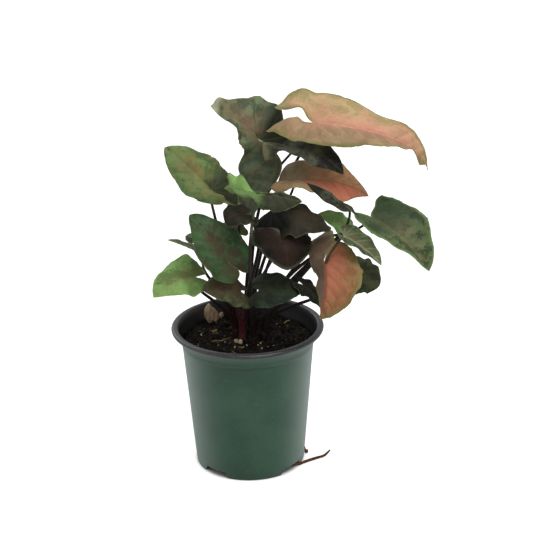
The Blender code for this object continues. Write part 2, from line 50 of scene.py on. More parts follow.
def paint(red, green, blue):
    # A screen colour from 0 to 255, as the linear colour that a shader takes
    values = [value / 255.0 for value in (red, green, blue)]
    return tuple(v / 12.92 if v <= 0.04045 else ((v + 0.055) / 1.055) ** 2.4 for v in values)


def tints(table):
    return {key: paint(*value) for key, value in table.items()}


def metres(values):
    return [value * mm for value in values]


def unit(vectors):
    lengths = np.linalg.norm(vectors, axis=-1, keepdims=True)
    return vectors / np.maximum(lengths, 1e-9)


def smoothStep(low, high, values):
    share = np.clip((values - low) / (high - low), 0.0, 1.0)
    return share * share * (3.0 - 2.0 * share)


def smoothLine(points, count):
    # A Catmull-Rom curve through the points, at evenly spaced steps
    points = np.array(points, float)
    knots = np.vstack([2 * points[0] - points[1], points, 2 * points[-1] - points[-2]])
    line = []
    for place in np.linspace(0.0, len(points) - 1.0, count):
        index = min(int(place), len(points) - 2)
        f = place - index
        a, b, c, d = knots[index:index + 4]
        line.append(0.5 * (2 * b + (c - a) * f + (2 * a - 5 * b + 4 * c - d) * f ** 2
                           + (3 * b - a - 3 * c + d) * f ** 3))
    return np.array(line)


def bezier(points, u):
    row = [np.array(point, float) for point in points]
    while len(row) > 1:
        row = [(1.0 - u) * first + u * second for first, second in zip(row, row[1:])]
    return row[0]


def mix(first, second, share):
    return np.array(first) * (1.0 - share) + np.array(second) * share


def seal(bm, distance=weld):
    # Merges what touches, then turns the faces outwards
    bmesh.ops.remove_doubles(bm, verts=bm.verts, dist=distance)
    bmesh.ops.recalc_face_normals(bm, faces=bm.faces)


def finishPiece(name, bm, materials, nodes=(), sharp=50.0):
    # A piece at the origin that rides on the one body, and stands for the CAD nodes given
    mesh = bpy.data.meshes.new(name)
    bm.to_mesh(mesh)
    bm.free()
    mesh.shade_smooth()
    mesh.set_sharp_from_angle(angle=math.radians(sharp))
    piece = bpy.data.objects.new(name, mesh)
    bpy.context.scene.collection.objects.link(piece)
    for material in materials:
        mesh.materials.append(material)
    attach(piece, "root")
    if nodes:
        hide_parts(*nodes)
    return piece


# Shader helpers

color, number, vector = "NodeSocketColor", "NodeSocketFloat", "NodeSocketVector"


class Graph:
    # Short calls for the nodes of one material or group

    def __init__(self, tree):
        self.tree = tree

    def add(self, kind, **settings):
        node = self.tree.nodes.new(kind)
        for key, value in settings.items():
            setattr(node, key, value)
        return node

    def put(self, socket, value):
        if isinstance(value, bpy.types.NodeSocket):
            self.tree.links.new(value, socket)
        elif socket.type == "RGBA" and len(value) == 3:
            socket.default_value = (*value, 1.0)
        else:
            socket.default_value = value

    def feed(self, inputs, values):
        for key, value in values.items():
            self.put(inputs[key], value)

    def math(self, operation, *values):
        node = self.add("ShaderNodeMath", operation=operation)
        self.feed(node.inputs, dict(enumerate(values)))
        return node.outputs[0]

    def plus(self, first, second):
        return self.math("ADD", first, second)

    def minus(self, first, second):
        return self.math("SUBTRACT", first, second)

    def times(self, first, second):
        return self.math("MULTIPLY", first, second)

    def scaled(self, value, factor, offset):
        return self.math("MULTIPLY_ADD", value, factor, offset)

    def hypot(self, x, y):
        return self.math("SQRT", self.plus(self.times(x, x), self.times(y, y)))

    def mix(self, share, first, second, blend="MIX"):
        node = self.add("ShaderNodeMix", data_type="RGBA", blend_type=blend)
        self.feed(node.inputs, {"Factor": share, 6: first, 7: second})
        return node.outputs[2]

    def step(self, value, low, high, start=0.0, end=1.0):
        node = self.add("ShaderNodeMapRange", interpolation_type="SMOOTHSTEP")
        self.feed(node.inputs, {"Value": value, "From Min": low, "From Max": high,
                                "To Min": start, "To Max": end})
        return node.outputs["Result"]

    def noise(self, vector, scale, detail=3.0, roughness=0.55):
        node = self.add("ShaderNodeTexNoise")
        self.feed(node.inputs, {"Vector": vector, "Scale": scale, "Detail": detail,
                                "Roughness": roughness})
        return node.outputs["Fac"]

    def cells(self, vector, scale):
        node = self.add("ShaderNodeTexVoronoi", feature="DISTANCE_TO_EDGE")
        self.feed(node.inputs, {"Vector": vector, "Scale": scale})
        return node.outputs[0]

    def attribute(self, name):
        return self.add("ShaderNodeAttribute", attribute_name=name).outputs["Vector"]

    def split(self, vector):
        node = self.add("ShaderNodeSeparateXYZ")
        self.put(node.inputs[0], vector)
        return node.outputs

    def join(self, x, y, z):
        node = self.add("ShaderNodeCombineXYZ")
        self.feed(node.inputs, {0: x, 1: y, 2: z})
        return node.outputs[0]

    def place(self):
        # Object coordinates, which are metres here
        return self.add("ShaderNodeTexCoord").outputs["Object"]


def newGroup(name, inputs, outputs):
    tree = bpy.data.node_groups.new(name, "ShaderNodeTree")
    for title, kind, value in inputs:
        socket = tree.interface.new_socket(title, in_out="INPUT", socket_type=kind)
        if value is not None:
            socket.default_value = (*value, 1.0) if kind == color else value
    for title, kind in outputs:
        tree.interface.new_socket(title, in_out="OUTPUT", socket_type=kind)
    graph = Graph(tree)
    return graph, graph.add("NodeGroupInput").outputs, graph.add("NodeGroupOutput").inputs


def useGroup(graph, group, values):
    node = graph.add("ShaderNodeGroup", node_tree=group.tree)
    graph.feed(node.inputs, values)
    return node.outputs


def newMaterial(name):
    material = bpy.data.materials.new(name)
    material.use_nodes = True
    shader = material.node_tree.nodes["Principled BSDF"]
    return material, Graph(material.node_tree), shader


def coat(g, shader, shade, rough, specular, height, strength, depth):
    # Colour, roughness, shine and fine relief; the depth is in millimetres
    g.feed(shader.inputs, {"Base Color": shade, "Roughness": rough,
                           "Specular IOR Level": specular})
    relief = g.add("ShaderNodeBump")
    g.feed(relief.inputs, {"Strength": strength, "Distance": depth * mm, "Height": height})
    g.put(shader.inputs["Normal"], relief.outputs["Normal"])


def grainMaterial(name, first, second, scale=900.0, detail=4.0, softness=0.6, stretch=1.0,
                  low=0.4, high=0.7, rough=0.85, relief=0.5, depth=0.3):
    # The first colour passes into the second over a fine grain
    material, g, shader = newMaterial(name)
    x, y, z = g.split(g.place())
    grain = g.noise(g.join(x, y, g.times(z, stretch)), scale, detail, softness)
    shade = g.mix(g.step(grain, low, high), paint(*first), paint(*second))
    coat(g, shader, shade, rough, 0.5, grain, relief, depth)
    return material


# Leaf colours

# What a plain blade is painted with, what each kind changes, and what one leaf changes in its
# own entry further below. Left and right are seen with the tip ahead, widths are shares of the
# half width or, for a rim, millimetres, and starts and ends are shares of the length.
plainLook = dict(
    ground=(90, 106, 68), flush=(112, 108, 70), blotch=(62, 78, 52), base=(60, 61, 46),
    rim=(110, 130, 80), vein=(128, 126, 84), tip=(110, 130, 84), under=(92, 104, 76), flushLeft=0.6,
    flushRight=0.6, flushWidth=0.4, flushEnd=0.8, blotchLeft=0.5, blotchRight=0.5, blotchSize=9.0,
    baseLeft=0.0, baseRight=0.0, baseEnd=0.0, rimWidth=0.9, veinStrength=0.25, tipStart=0.94, stain=0.5,
    lobeRim=0.0, rough=0.4)
looks = {
    "pink": dict(
        ground=(186, 152, 108), flush=(214, 158, 134), blotch=(146, 130, 92), base=(206, 146, 128),
        rim=(150, 134, 90), vein=(206, 150, 128), tip=(150, 152, 104), under=(138, 132, 86),
        flushLeft=0.9, flushWidth=0.45, flushEnd=0.75, blotchLeft=0.35, blotchRight=0.7, blotchSize=6.0,
        rimWidth=1.2, veinStrength=0.35, tipStart=0.9),
    "green": {},
    "light": dict(
        ground=(106, 132, 84), flush=(116, 116, 72), blotch=(82, 106, 66), base=(96, 112, 76),
        rim=(134, 160, 98), vein=(140, 132, 90), tip=(120, 146, 90), under=(116, 134, 90), flushLeft=0.5,
        flushRight=0.5, flushWidth=0.25, flushEnd=0.7, veinStrength=0.3, tipStart=0.95),
    # The dusky kind's dark colours are partly painted shade, for leaves deep in the plant
    "dusky": dict(
        ground=(56, 62, 46), flush=(76, 62, 48), blotch=(44, 52, 42), base=(70, 66, 54),
        rim=(70, 82, 58), vein=(92, 86, 66), tip=(60, 70, 50), under=(66, 74, 56), flushLeft=0.5,
        flushRight=0.5, blotchSize=7.0, rimWidth=0.8, tipStart=0.95),
    "brown": dict(
        ground=(60, 60, 44), flush=(86, 64, 50), blotch=(48, 54, 40), base=(84, 56, 44),
        rim=(74, 80, 56), vein=(104, 80, 62), tip=(70, 76, 52), under=(70, 70, 52), flushLeft=0.8,
        flushRight=0.8, flushWidth=0.5, flushEnd=0.85, blotchLeft=0.45, blotchRight=0.45, blotchSize=6.0,
        rimWidth=0.8, tipStart=0.95),
}


def socketTitle(key):
    # flushLeft is the socket Flush Left
    return "".join(" " + letter if letter.isupper() else letter for letter in key).title()


# Leaf veins and markings, read from two attributes of each blade:
# flat is (along, across, distance to the margin) in millimetres on the blade laid flat,
# spot is (share of the length, share of the half width, underside).

veinLayout = dict(spacing=8.5, slope=0.75, bow=0.011, fanStep=0.52)
markForm = dict(cloudScale=0.055, fineScale=0.9, netScale=0.55, stainScale=0.17,
                featherAlong=0.36, featherAcross=0.08, featherShare=0.22, flushSoft=0.38,
                endSoft=0.3, baseSoft=0.15, tipSoft=0.12, seedStep=40.0, underShare=0.8)


def veinGroup():
    inputs = [("Flat", vector, None), ("Spacing", number, veinLayout["spacing"])]
    outputs = [("Side", number), ("Middle", number)]
    g, given, out = newGroup("leafVeins", inputs, outputs)
    slope = veinLayout["slope"]
    x, y = g.split(given["Flat"])[:2]
    far = g.math("ABSOLUTE", y)
    straight = g.minus(x, g.times(g.times(far, far), veinLayout["bow"]))
    start = g.minus(straight, g.times(far, slope))
    half = g.times(given["Spacing"], 0.5)
    pinnate = g.times(g.math("PINGPONG", start, half), 1.0 / math.hypot(1.0, slope))
    turn = g.minus(g.math("ARCTAN2", far, straight), math.atan2(1.0, slope))
    fan = g.times(g.hypot(far, straight), g.math("PINGPONG", turn, veinLayout["fanStep"] / 2.0))
    ahead = g.math("GREATER_THAN", start, 0.0)
    distance = g.plus(g.times(pinnate, ahead), g.times(fan, g.minus(1.0, ahead)))
    g.put(out["Side"], g.step(distance, 0.0, 1.1, 1.0, 0.0))
    rib = g.step(far, 0.2, 1.5, 1.0, 0.0)
    g.put(out["Middle"], g.times(rib, g.step(x, -1.0, 0.5)))
    return g


def markingGroup(veins):
    inputs = [("Seed", number, 0.0)]
    for key, value in plainLook.items():
        kind = color if isinstance(value, tuple) else number
        inputs.append((socketTitle(key), kind, paint(*value) if kind == color else value))
    outputs = [("Color", color), ("Height", number), ("Roughness", number)]
    g, given, out = newGroup("leafMarkings", inputs, outputs)
    form = markForm
    flat = g.attribute("flat")
    x, y, edge = g.split(flat)
    along, reach, under = g.split(g.attribute("spot"))
    seed = g.times(given["Seed"], form["seedStep"])
    spread = g.join(x, y, seed)
    slanted = g.scaled(g.math("ABSOLUTE", y), -veinLayout["slope"], x)
    feathered = g.join(g.times(slanted, form["featherAlong"]), g.times(y, form["featherAcross"]),
                       seed)
    cloud = g.noise(spread, form["cloudScale"], 2.0)
    feather = g.noise(feathered, 1.0, 3.0, 0.6)
    patch = g.noise(spread, g.math("DIVIDE", 1.0, given["Blotch Size"]), 4.0, 0.62)
    fine = g.noise(spread, form["fineScale"], 3.0, 0.6)
    right = g.step(y, -1.5, 1.5)
    left = g.minus(1.0, right)

    def sided(name):
        # The value for the half that a point is on
        return g.plus(g.times(given[name + " Left"], left), g.times(given[name + " Right"], right))

    def until(value, end, soft):
        # 1 below the end and 0 above it
        return g.step(value, g.minus(end, soft), g.plus(end, soft), 1.0, 0.0)

    mottle = g.plus(g.times(patch, 1.0 - form["featherShare"]),
                    g.times(feather, form["featherShare"]))
    blotch = g.times(g.step(mottle, 0.45, 0.55), sided("Blotch"))
    shade = g.mix(blotch, given["Ground"], given["Blotch"])
    uneven = g.minus(g.plus(cloud, g.times(feather, 0.5)), 0.75)
    narrow = until(g.scaled(uneven, 1.1, reach), given["Flush Width"], form["flushSoft"])
    uneasy = g.scaled(g.minus(patch, 0.5), 0.5, along)
    short = until(uneasy, given["Flush End"], form["endSoft"])
    shade = g.mix(g.times(g.times(sided("Flush"), narrow), short), shade, given["Flush"])
    stain = g.noise(g.join(y, x, g.plus(seed, 9.0)), form["stainScale"], 4.0, 0.65)
    stain = g.times(g.step(stain, 0.5, 0.62), sided("Flush"))
    shade = g.mix(g.times(stain, given["Stain"]), shade, given["Flush"])
    # On some leaves the base zone is their own colour near the base, on others it is painted shade, and
    # on the folded light leaf it is painted light
    base = until(uneasy, given["Base End"], form["baseSoft"])
    shade = g.mix(g.times(base, sided("Base")), shade, given["Base"])

    # The rim follows the margin, with a crisp band round the left lobe where a leaf has one
    # The rim colour is partly the leaf's own margin and partly a painted highlight
    wobble = g.scaled(g.minus(cloud, 0.5), 3.0, edge)
    lobes = g.times(g.step(x, 1.0, -3.0), left)
    wide = g.plus(g.times(lobes, given["Lobe Rim"]), given["Rim Width"])
    rim = g.step(wobble, 0.0, wide, 0.8, 0.0)
    crisp = g.step(edge, g.times(given["Lobe Rim"], 0.5),
                   g.scaled(given["Lobe Rim"], 0.6, 0.01), 0.85, 0.0)
    inner = g.times(lobes, g.step(reach, 0.45, 0.3))
    rim = g.math("MAXIMUM", rim, g.times(inner, crisp))
    shade = g.mix(rim, shade, given["Rim"])
    tip = g.step(along, given["Tip Start"], g.plus(given["Tip Start"], form["tipSoft"]), 0.0, 0.9)
    shade = g.mix(tip, shade, given["Tip"])

    lines = useGroup(g, veins, {"Flat": flat})
    fade = g.step(reach, 0.15, 1.0, 0.55, 0.12)
    line = g.math("MAXIMUM", g.times(lines["Side"], fade), lines["Middle"])
    shade = g.mix(g.times(line, given["Vein Strength"]), shade, given["Vein"])
    shade = g.mix(g.times(under, form["underShare"]), shade, given["Under"])
    net = g.step(g.cells(spread, form["netScale"]), 0.0, 0.12)
    value = g.scaled(fine, 0.34, g.scaled(net, 0.05, 0.78))
    value = g.scaled(uneven, 0.6, value)
    shade = g.mix(1.0, shade, g.join(value, value, value), "MULTIPLY")
    g.put(out["Color"], shade)
    g.put(out["Height"], g.scaled(net, 0.5, g.times(fine, 0.5)))
    gloss = g.scaled(line, -0.1, g.times(patch, 0.3))
    g.put(out["Roughness"], g.plus(gloss, given["Rough"]))
    return g


leafMarkings = markingGroup(veinGroup())


def bladeMaterial(name, kind, changes, seed):
    look = {**plainLook, **looks[kind], **changes}
    values = {socketTitle(key): paint(*value) if isinstance(value, tuple) else value
              for key, value in look.items()}
    material, g, shader = newMaterial(name)
    marks = useGroup(g, leafMarkings, dict(values, Seed=seed))
    coat(g, shader, marks["Color"], marks["Roughness"], 0.16, marks["Height"], 0.4, 0.3)
    return material


# Blades

bladeForm = dict(cell=0.95, thickness=0.5, edgeFade=2.2, ribGroove=0.55, ribWidth=1.5,
                 ridge=0.95, ridgeWidth=1.0, sideGroove=0.42, sideWidth=1.4, quilt=0.22,
                 flutter=0.6, crumple=0.3, waveLag=0.37, flutterStep=(0.16, 0.16),
                 crumpleStep=(0.36, 0.28), dentStep=(0.13, 5.0), fineDentStep=(0.45, 5.0),
                 seatAhead=2.0, seatBelow=1.0, sharp=75.0)
earPointed = ((-1.0, 0.34), (-0.80, 0.52), (-0.40, 0.80), (0.0, 1.0))
earRound = ((-1.0, 0.46), (-0.94, 0.74), (-0.50, 0.98), (0.0, 1.0))
sinusLine = ((-1.0, 0.0), (-0.80, 0.24), (-0.35, 0.08), (0.0, 0.0))
marginSlim = ((0.0, 1.0), (0.22, 0.97), (0.48, 0.76), (0.72, 0.45), (0.90, 0.16), (1.0, 0.0))
marginFull = ((0.0, 0.94), (0.25, 1.04), (0.53, 0.98), (0.78, 0.72), (0.94, 0.34), (1.0, 0.0))

plainLeaf = dict(roll=0.0, arch=4.0, sway=0.0, bend=0.5, fold=(8.0, 8.0), curl=(-20.0, -25.0),
                 drop=(0.0, 0.0), spread=(0.0, 0.0), wave=1.0, waves=2.5, full=(0.4, 0.4),
                 ear=(0.4, 0.4), flare=(0.0, 0.0), heading=None, via=None, pulls=(), look={},
                 ragged=0.03)
shoots = {
    "shoot_tall": (2.0, 6.0), "shoot_left": (-9.0, 5.0), "shoot_front": (4.0, -10.0),
    "shoot_right": (12.0, -3.0), "shoot_low": (-4.0, -4.0), "shoot_back": (-2.0, 17.0),
}
# One entry for each leaf: pairs are for the left and right half, seen with the tip ahead.
# A pull moves the blade around a spot: half, share of the length, share of the half width,
# radius, move. A look is what differs from the colours of the leaf's kind.
leafTable = {
    "leaf_top_pink": dict(
        shoot="shoot_tall", kind="pink", base=(50, -12, 270), tip=(131, -22, 234), half=(28, 18),
        lobe=(33, 35), roll=16, arch=15, bend=0.85, fold=(38, 5), curl=(-45, -35), spread=(8, 3),
        drop=(1, 1), wave=2.5, waves=2.0, full=(-0.6, -0.3), ear=(0.2, 0.2), heading=(0.1, -0.75, 0.65),
        via=(30, 54, 215),
        pulls=[(0, -1.0, 0.4, 9, (5.5, 0, -4)), (0, -0.45, 0.9, 11, (3, 14, 2.7)),
            (0, 0.3, 1.0, 16, (0, 0, -5)), (0, -0.4, 0.05, 7, (3.5, 0, 6.5)),
            (0, -1.0, 0.3, 6, (-4.5, 0, -1)), (1, -1.0, 0.4, 7, (2.5, 0, -3.5)),
            (1, -0.45, 0.15, 7, (0, 0, 4)), (1, -0.3, 1.0, 10, (0, 0, -4.5)),
            (1, 0.05, 1.0, 10, (0, 0, -2.5)), (1, 0.55, 1.0, 8, (0, 0, 6)),
            (1, 0.66, 0.55, 5.5, (0, 0, 5)), (1, 0.8, 0.38, 5, (-2, 0, -4)),
            (1, 0.3, 1.0, 5, (0, 0, 1.5)), (1, -0.3, 0.05, 2.5, (0, 0, 2.2))],
        look=dict(ground=(186, 160, 116), flush=(222, 150, 130), flushLeft=0.85, flushRight=0.7,
            flushWidth=0.24, flushEnd=0.64, blotch=(146, 136, 88), blotchLeft=0.7, blotchRight=0.85,
            blotchSize=8.0, base=(132, 104, 82), baseRight=0.5, baseEnd=0.95, veinStrength=0.5,
            rim=(118, 122, 64), rimWidth=3.5, lobeRim=4.0, tip=(104, 132, 68), tipStart=0.88, stain=0.3,
            rough=0.32)),
    # The upper left leaf's dark base colour over its lobes is painted shade
    "leaf_upper_left": dict(
        shoot="shoot_left", kind="green", base=(11, 5, 253), tip=(-23, 15, 276), half=(16, 26),
        lobe=(33, 26), roll=-33, fold=(0, 0), spread=(34, 12), wave=2.0, flare=(1.2, 0), ear=(0.8, 0.4),
        via=(-4, 24, 200),
        pulls=[(0, 0.55, 1.0, 14, (8, 0, 3)), (0, -0.45, 1.0, 12, (-11, 0, 0)),
            (1, 0.35, 1.0, 14, (1, 0, 6)), (1, -0.15, 1.0, 12, (4, 0, 9)),
            (0, -0.5, 0.15, 12, (14, 0, 0)), (1, 0.88, 0.22, 4.5, (-1, 0, 4))],
        look=dict(ground=(108, 124, 90), flush=(134, 98, 76), blotch=(54, 70, 50), flushWidth=0.3,
            rim=(112, 122, 90), tip=(174, 180, 148), tipStart=0.8, base=(46, 50, 36), baseLeft=0.6,
            baseRight=1.0, baseEnd=0.08, blotchLeft=0.8, blotchRight=0.8, blotchSize=10.0, stain=0.6)),
    "leaf_under_top": dict(
        shoot="shoot_tall", kind="dusky", base=(35, -10, 251), tip=(71, -28, 236), half=(15, 14),
        lobe=(16, 20), roll=25, arch=7, fold=(10, 10), curl=(-30, -40), drop=(3, 3), wave=1.5,
        ear=(0.4, 0.9), heading=(0.4, -0.5, 0.7), via=(6, 30, 215),
        pulls=[(1, -1.0, 0.4, 6, (3, -7, -5.5)), (1, -0.6, 0.1, 9, (-11, -6, 8)),
            (1, -0.9, 0.9, 5, (-3, 0, -3)), (1, 0.0, 1.0, 9, (0, 0, 6)), (1, 0.25, 1.0, 9, (0, 0, 4.5)),
            (1, 0.9, 1.0, 7, (3, 0, 2)), (0, 0.9, 1.0, 7, (3, 0, 2))],
        look=dict(ground=(92, 94, 76), base=(128, 126, 92), baseRight=0.9, baseEnd=-0.45,
            tip=(20, 20, 17), tipStart=0.5, flushLeft=0.2, flushRight=0.2, blotch=(48, 52, 42),
            rough=0.28, blotchLeft=0.8, blotchRight=0.8)),
    # The left leaf's dark base colour near its base is painted shade
    "leaf_left": dict(
        shoot="shoot_left", kind="green", base=(-23, -25, 225), tip=(-56, -10, 253), half=(16, 19),
        lobe=(9, 22), roll=-40, arch=3, fold=(10, 10), drop=(2, 4), wave=1.5, full=(0.6, 0.6),
        pulls=[(1, 0.7, 1.0, 10, (0, 0, -1.8)), (0, -0.7, 0.15, 8, (8, -1, 0)),
            (0, -0.5, 1.0, 9, (0, 0, 4.5))],
        look=dict(ground=(98, 130, 74), flush=(134, 120, 70), blotch=(68, 90, 52), flushEnd=0.65,
            flushRight=0.8, base=(55, 60, 40), baseRight=1.0, baseLeft=0.2, baseEnd=0.16, blotchLeft=0.7,
            blotchRight=0.9, blotchSize=11.0, stain=0.7)),
    # The folded light leaf's dark ground is painted shade on its shaded half, and its bright base colour
    # is painted light on the lit lobes, weaker on the near lobe in shade
    "leaf_folded_light": dict(
        shoot="shoot_front", kind="light", base=(9, -45, 230), tip=(41, -50, 224), half=(9, 14),
        lobe=(28, 28), roll=35, arch=2, fold=(50, -15), curl=(-30, -30), wave=2.0, via=(2, -105, 180),
        ragged=0.06, flare=(0.9, 0.0),
        pulls=[(0, 0.4, 1.0, 16, (0, 0, -5)), (0, 0.05, 1.0, 10, (-2, 0, -6)),
            (0, -1.0, 0.4, 8, (6.5, 0, 3.5)), (0, -0.85, 0.0, 5, (-2, 0, -5)),
            (0, -0.5, 1.2, 7, (0, 0, 2)), (1, -0.9, 0.5, 8, (6, 0, 5.5)), (1, -0.8, 0.0, 7, (-2, 0, 3)),
            (1, -0.45, 1.0, 10, (0, 0, 9.5)), (1, 0.0, 1.0, 8, (0, 0, 6)), (1, 0.85, 1.0, 6, (2, 0, -4))],
        look=dict(ground=(56, 60, 40), flush=(66, 58, 42), blotch=(42, 48, 34), base=(138, 178, 102),
            baseLeft=1.0, baseRight=0.45, baseEnd=0.12, rim=(112, 128, 84), under=(76, 88, 56),
            veinStrength=0.12)),
    "leaf_center_brown": dict(
        shoot="shoot_low", kind="brown", base=(2, -41, 212.5), tip=(-13, -46, 207), half=(14, 11),
        lobe=(6, 6), roll=-30, arch=5, bend=0.8, full=(0.8, 0.8), heading=(-0.6, -0.4, 0.7),
        via=(14, -14, 175),
        pulls=[(0, 0.4, 1.0, 10, (0, 0, 4))],
        look=dict(ground=(38, 46, 32), flush=(54, 46, 32), blotch=(26, 29, 22), veinStrength=0.12,
            blotchLeft=0.8, blotchRight=0.8)),
    # The centre dark leaf's near-black base colour is a painted shadow in the hollow round its base
    "leaf_center_dark": dict(
        shoot="shoot_tall", kind="dusky", base=(20, -26, 210), tip=(61, -33, 195), half=(13, 19),
        lobe=(10, 10), roll=15, arch=6, bend=0.6, fold=(5, 0), curl=(-30, -30), drop=(3, 3), wave=2.4,
        waves=3.0,
        pulls=[(1, 0.1, 1.0, 12, (0, 0, -6)), (1, -0.5, 1.0, 12, (-5, 0, -9)),
            (0, 0.1, 1.0, 10, (-2, 0, 3)), (1, 0.6, 1.0, 10, (0, 0, -3))],
        look=dict(ground=(55, 52, 37), flush=(60, 43, 32), blotch=(36, 38, 28), base=(11, 12, 9),
            baseLeft=1.0, baseRight=1.0, baseEnd=0.3, veinStrength=0.1, rim=(84, 82, 60), rough=0.5)),
    # The drooping leaf's dark colours are painted shade on the hanging blade, and its wide light rim is
    # painted light where the margin catches the light from above
    "leaf_center_drooping": dict(
        shoot="shoot_front", kind="brown", base=(27, -40, 198), tip=(30, -51, 173), half=(24, 17),
        lobe=(9, 9), fold=(-8, -8), curl=(-30, -35), drop=(3, 3), full=(0.8, 0.8), ear=(1.0, 1.0),
        via=(16, -14, 160), wave=1.8,
        pulls=[(1, -0.3, 1.0, 12, (-8, -1, 2)), (0, -0.9, 0.4, 7, (0, -2, -2))],
        look=dict(ground=(32, 34, 25), flush=(48, 30, 22), blotch=(22, 23, 18), rim=(96, 98, 78),
            rimWidth=3.2, vein=(96, 52, 38), veinStrength=0.12, blotchLeft=0.8, blotchRight=0.8,
            stain=0.7)),
    "leaf_mid_left": dict(
        shoot="shoot_left", kind="green", base=(-12, -45, 178), tip=(-39, -30, 209), half=(16, 20),
        lobe=(14, 16), roll=-40, drop=(3, 3), wave=1.5, full=(0.7, 0.7),
        pulls=[(0, 0.75, 0.55, 9, (2.5, 0, 0)), (1, 0.75, 1.0, 12, (-1, 0, -4)),
            (1, 0.4, 1.0, 12, (-1, 0, 0)), (0, -0.6, 0.1, 8, (6, 0, 0))],
        look=dict(ground=(66, 98, 58), flush=(79, 61, 45), blotch=(44, 56, 38), flushLeft=0.75,
            flushRight=0.8, flushWidth=0.3, flushEnd=0.6, blotchRight=0.75, rim=(92, 118, 68),
            veinStrength=0.06, blotchSize=12.0, rough=0.32, stain=0.6)),
    "leaf_narrow_left": dict(
        shoot="shoot_left", kind="light", base=(-29, 4, 163), tip=(-57, -6, 181), half=(9, 9),
        lobe=(10, 10), roll=-10, arch=2, via=(-24, 14, 140),
        pulls=[(0, 0.6, 1.0, 8, (0, 0, 2))],
        look=dict(ground=(136, 150, 112), under=(150, 160, 122))),
    "leaf_low_left": dict(
        shoot="shoot_left", kind="light", base=(-36, -30, 161), tip=(-66, -50, 154), half=(14, 22),
        lobe=(16, 20), roll=-25, arch=6, curl=(-25, -25), drop=(3, 3), full=(0.5, 0.5), ear=(0.8, 0.8),
        pulls=[(1, 0.6, 1.0, 10, (3.5, 0, -1.5)), (1, -0.2, 1.0, 12, (3, 0, 5)),
            (1, 0.25, 1.0, 10, (2, 0, -1.5)), (0, 0.3, 1.0, 10, (0, 0, -3))],
        look=dict(ground=(132, 170, 97), rim=(158, 190, 112), blotch=(74, 102, 58), flush=(140, 116, 76),
            flushWidth=0.12, blotchLeft=0.4, blotchRight=0.7, blotchSize=12.0, veinStrength=0.15,
            stain=0.3)),
    "leaf_low_front_left": dict(
        shoot="shoot_low", kind="brown", base=(-5, -37, 153), tip=(-31, -45, 157), half=(18, 14),
        lobe=(12, 10), roll=-25, full=(0.6, 0.6),
        look=dict(ground=(78, 94, 58), flush=(88, 68, 48), veinStrength=0.12, blotch=(40, 46, 32),
            blotchLeft=0.8, blotchRight=0.8)),
    "leaf_low_front_right": dict(
        shoot="shoot_front", kind="dusky", base=(10, -42, 155), tip=(41, -37, 151), half=(17, 17),
        lobe=(7, 9), roll=25, fold=(5, 5), curl=(-25, -25),
        look=dict(ground=(36, 56, 36), flushLeft=0.2, flushRight=0.2, blotch=(22, 30, 22),
            veinStrength=0.1, rim=(40, 58, 38), blotchLeft=0.9, blotchRight=0.9, blotchSize=10.0)),
    "leaf_right_pink": dict(
        shoot="shoot_right", kind="pink", base=(56, -50, 179), tip=(51, -63, 140), half=(28, 18),
        lobe=(13, 30), arch=5, sway=-5, fold=(0, -15), curl=(-20, -30), spread=(0, -4), full=(0.2, -0.6),
        ear=(0.2, 0.9), heading=(-0.12, 0.36, -0.92), via=(118, -22, 234), ragged=0.05,
        pulls=[(0, 0.0, 1.0, 10, (-3, 0, -4)), (1, 0.15, 1.0, 12, (5, 0, 0)),
            (1, -1.0, 0.4, 11, (14, 0, 1.5)), (1, -0.5, 0.1, 8, (9, 0, 0)),
            (1, -0.6, 1.0, 9, (-1.5, 0, 1)), (0, 0.75, 1.0, 10, (-2, 0, 2.5)),
            (1, -1.0, 0.4, 5, (-3, 0, -2.5)), (1, -0.8, 1.0, 6, (0, 0, 2.5)),
            (0, 0.72, 0.72, 1.3, (1, 0, -3)), (0, 0.9, 0.32, 1.5, (1, 0, -3))],
        look=dict(ground=(144, 118, 74), flush=(184, 116, 88), rim=(128, 132, 78), blotch=(132, 88, 54),
            vein=(168, 66, 54), base=(106, 92, 78), baseRight=0.85, baseEnd=1.2, flushWidth=0.48,
            flushEnd=0.66, flushLeft=1.0, flushRight=0.2, rimWidth=3.4, blotchLeft=0.75,
            veinStrength=0.45, blotchSize=7.0, rough=0.22, tip=(134, 126, 76), tipStart=0.84)),
    "leaf_behind_pink": dict(
        shoot="shoot_right", kind="dusky", base=(74, -25, 160), tip=(97, -30, 152), half=(17, 17),
        lobe=(12, 12), roll=25, arch=3, full=(1.0, 1.0), via=(40, 6, 118), ragged=0.06, wave=1.4,
        waves=3.0,
        look=dict(ground=(80, 94, 60), blotch=(46, 52, 36), rim=(88, 98, 64), flush=(92, 72, 54),
            flushWidth=0.2, blotchLeft=0.8, blotchRight=0.8)),
    "leaf_right_green": dict(
        shoot="shoot_right", kind="green", base=(90, -30, 205), tip=(131, -45, 168), half=(23, 12),
        lobe=(5, 11), roll=25, arch=6, fold=(20, 10), curl=(-15, -25), full=(0.8, 0.8),
        via=(44, -10, 168),
        pulls=[(0, 0.02, 1.0, 8, (-3, 0, -0.5)), (1, 0.7, 1.0, 14, (1, 0, 3)),
            (0, -1.0, 0.3, 5, (3, 0, 0)), (0, 0.5, 1.0, 12, (2.5, 0, 2))],
        look=dict(ground=(90, 110, 70), blotch=(54, 68, 44), rim=(116, 146, 86), rimWidth=2.6,
            blotchLeft=1.0, blotchRight=0.9, base=(56, 74, 48), baseLeft=0.8, baseRight=0.45,
            baseEnd=0.35, flush=(118, 114, 84), flushWidth=0.2, flushLeft=0.8, flushRight=0.8,
            veinStrength=0.12, stain=0.9)),
    "leaf_right_narrow": dict(
        shoot="shoot_right", kind="dusky", base=(75, -45, 218), tip=(44, -50, 238), half=(6, 6),
        lobe=(3, 3), roll=-110, arch=2, heading=(-0.2, -0.7, 0.7), via=(72, -14, 170),
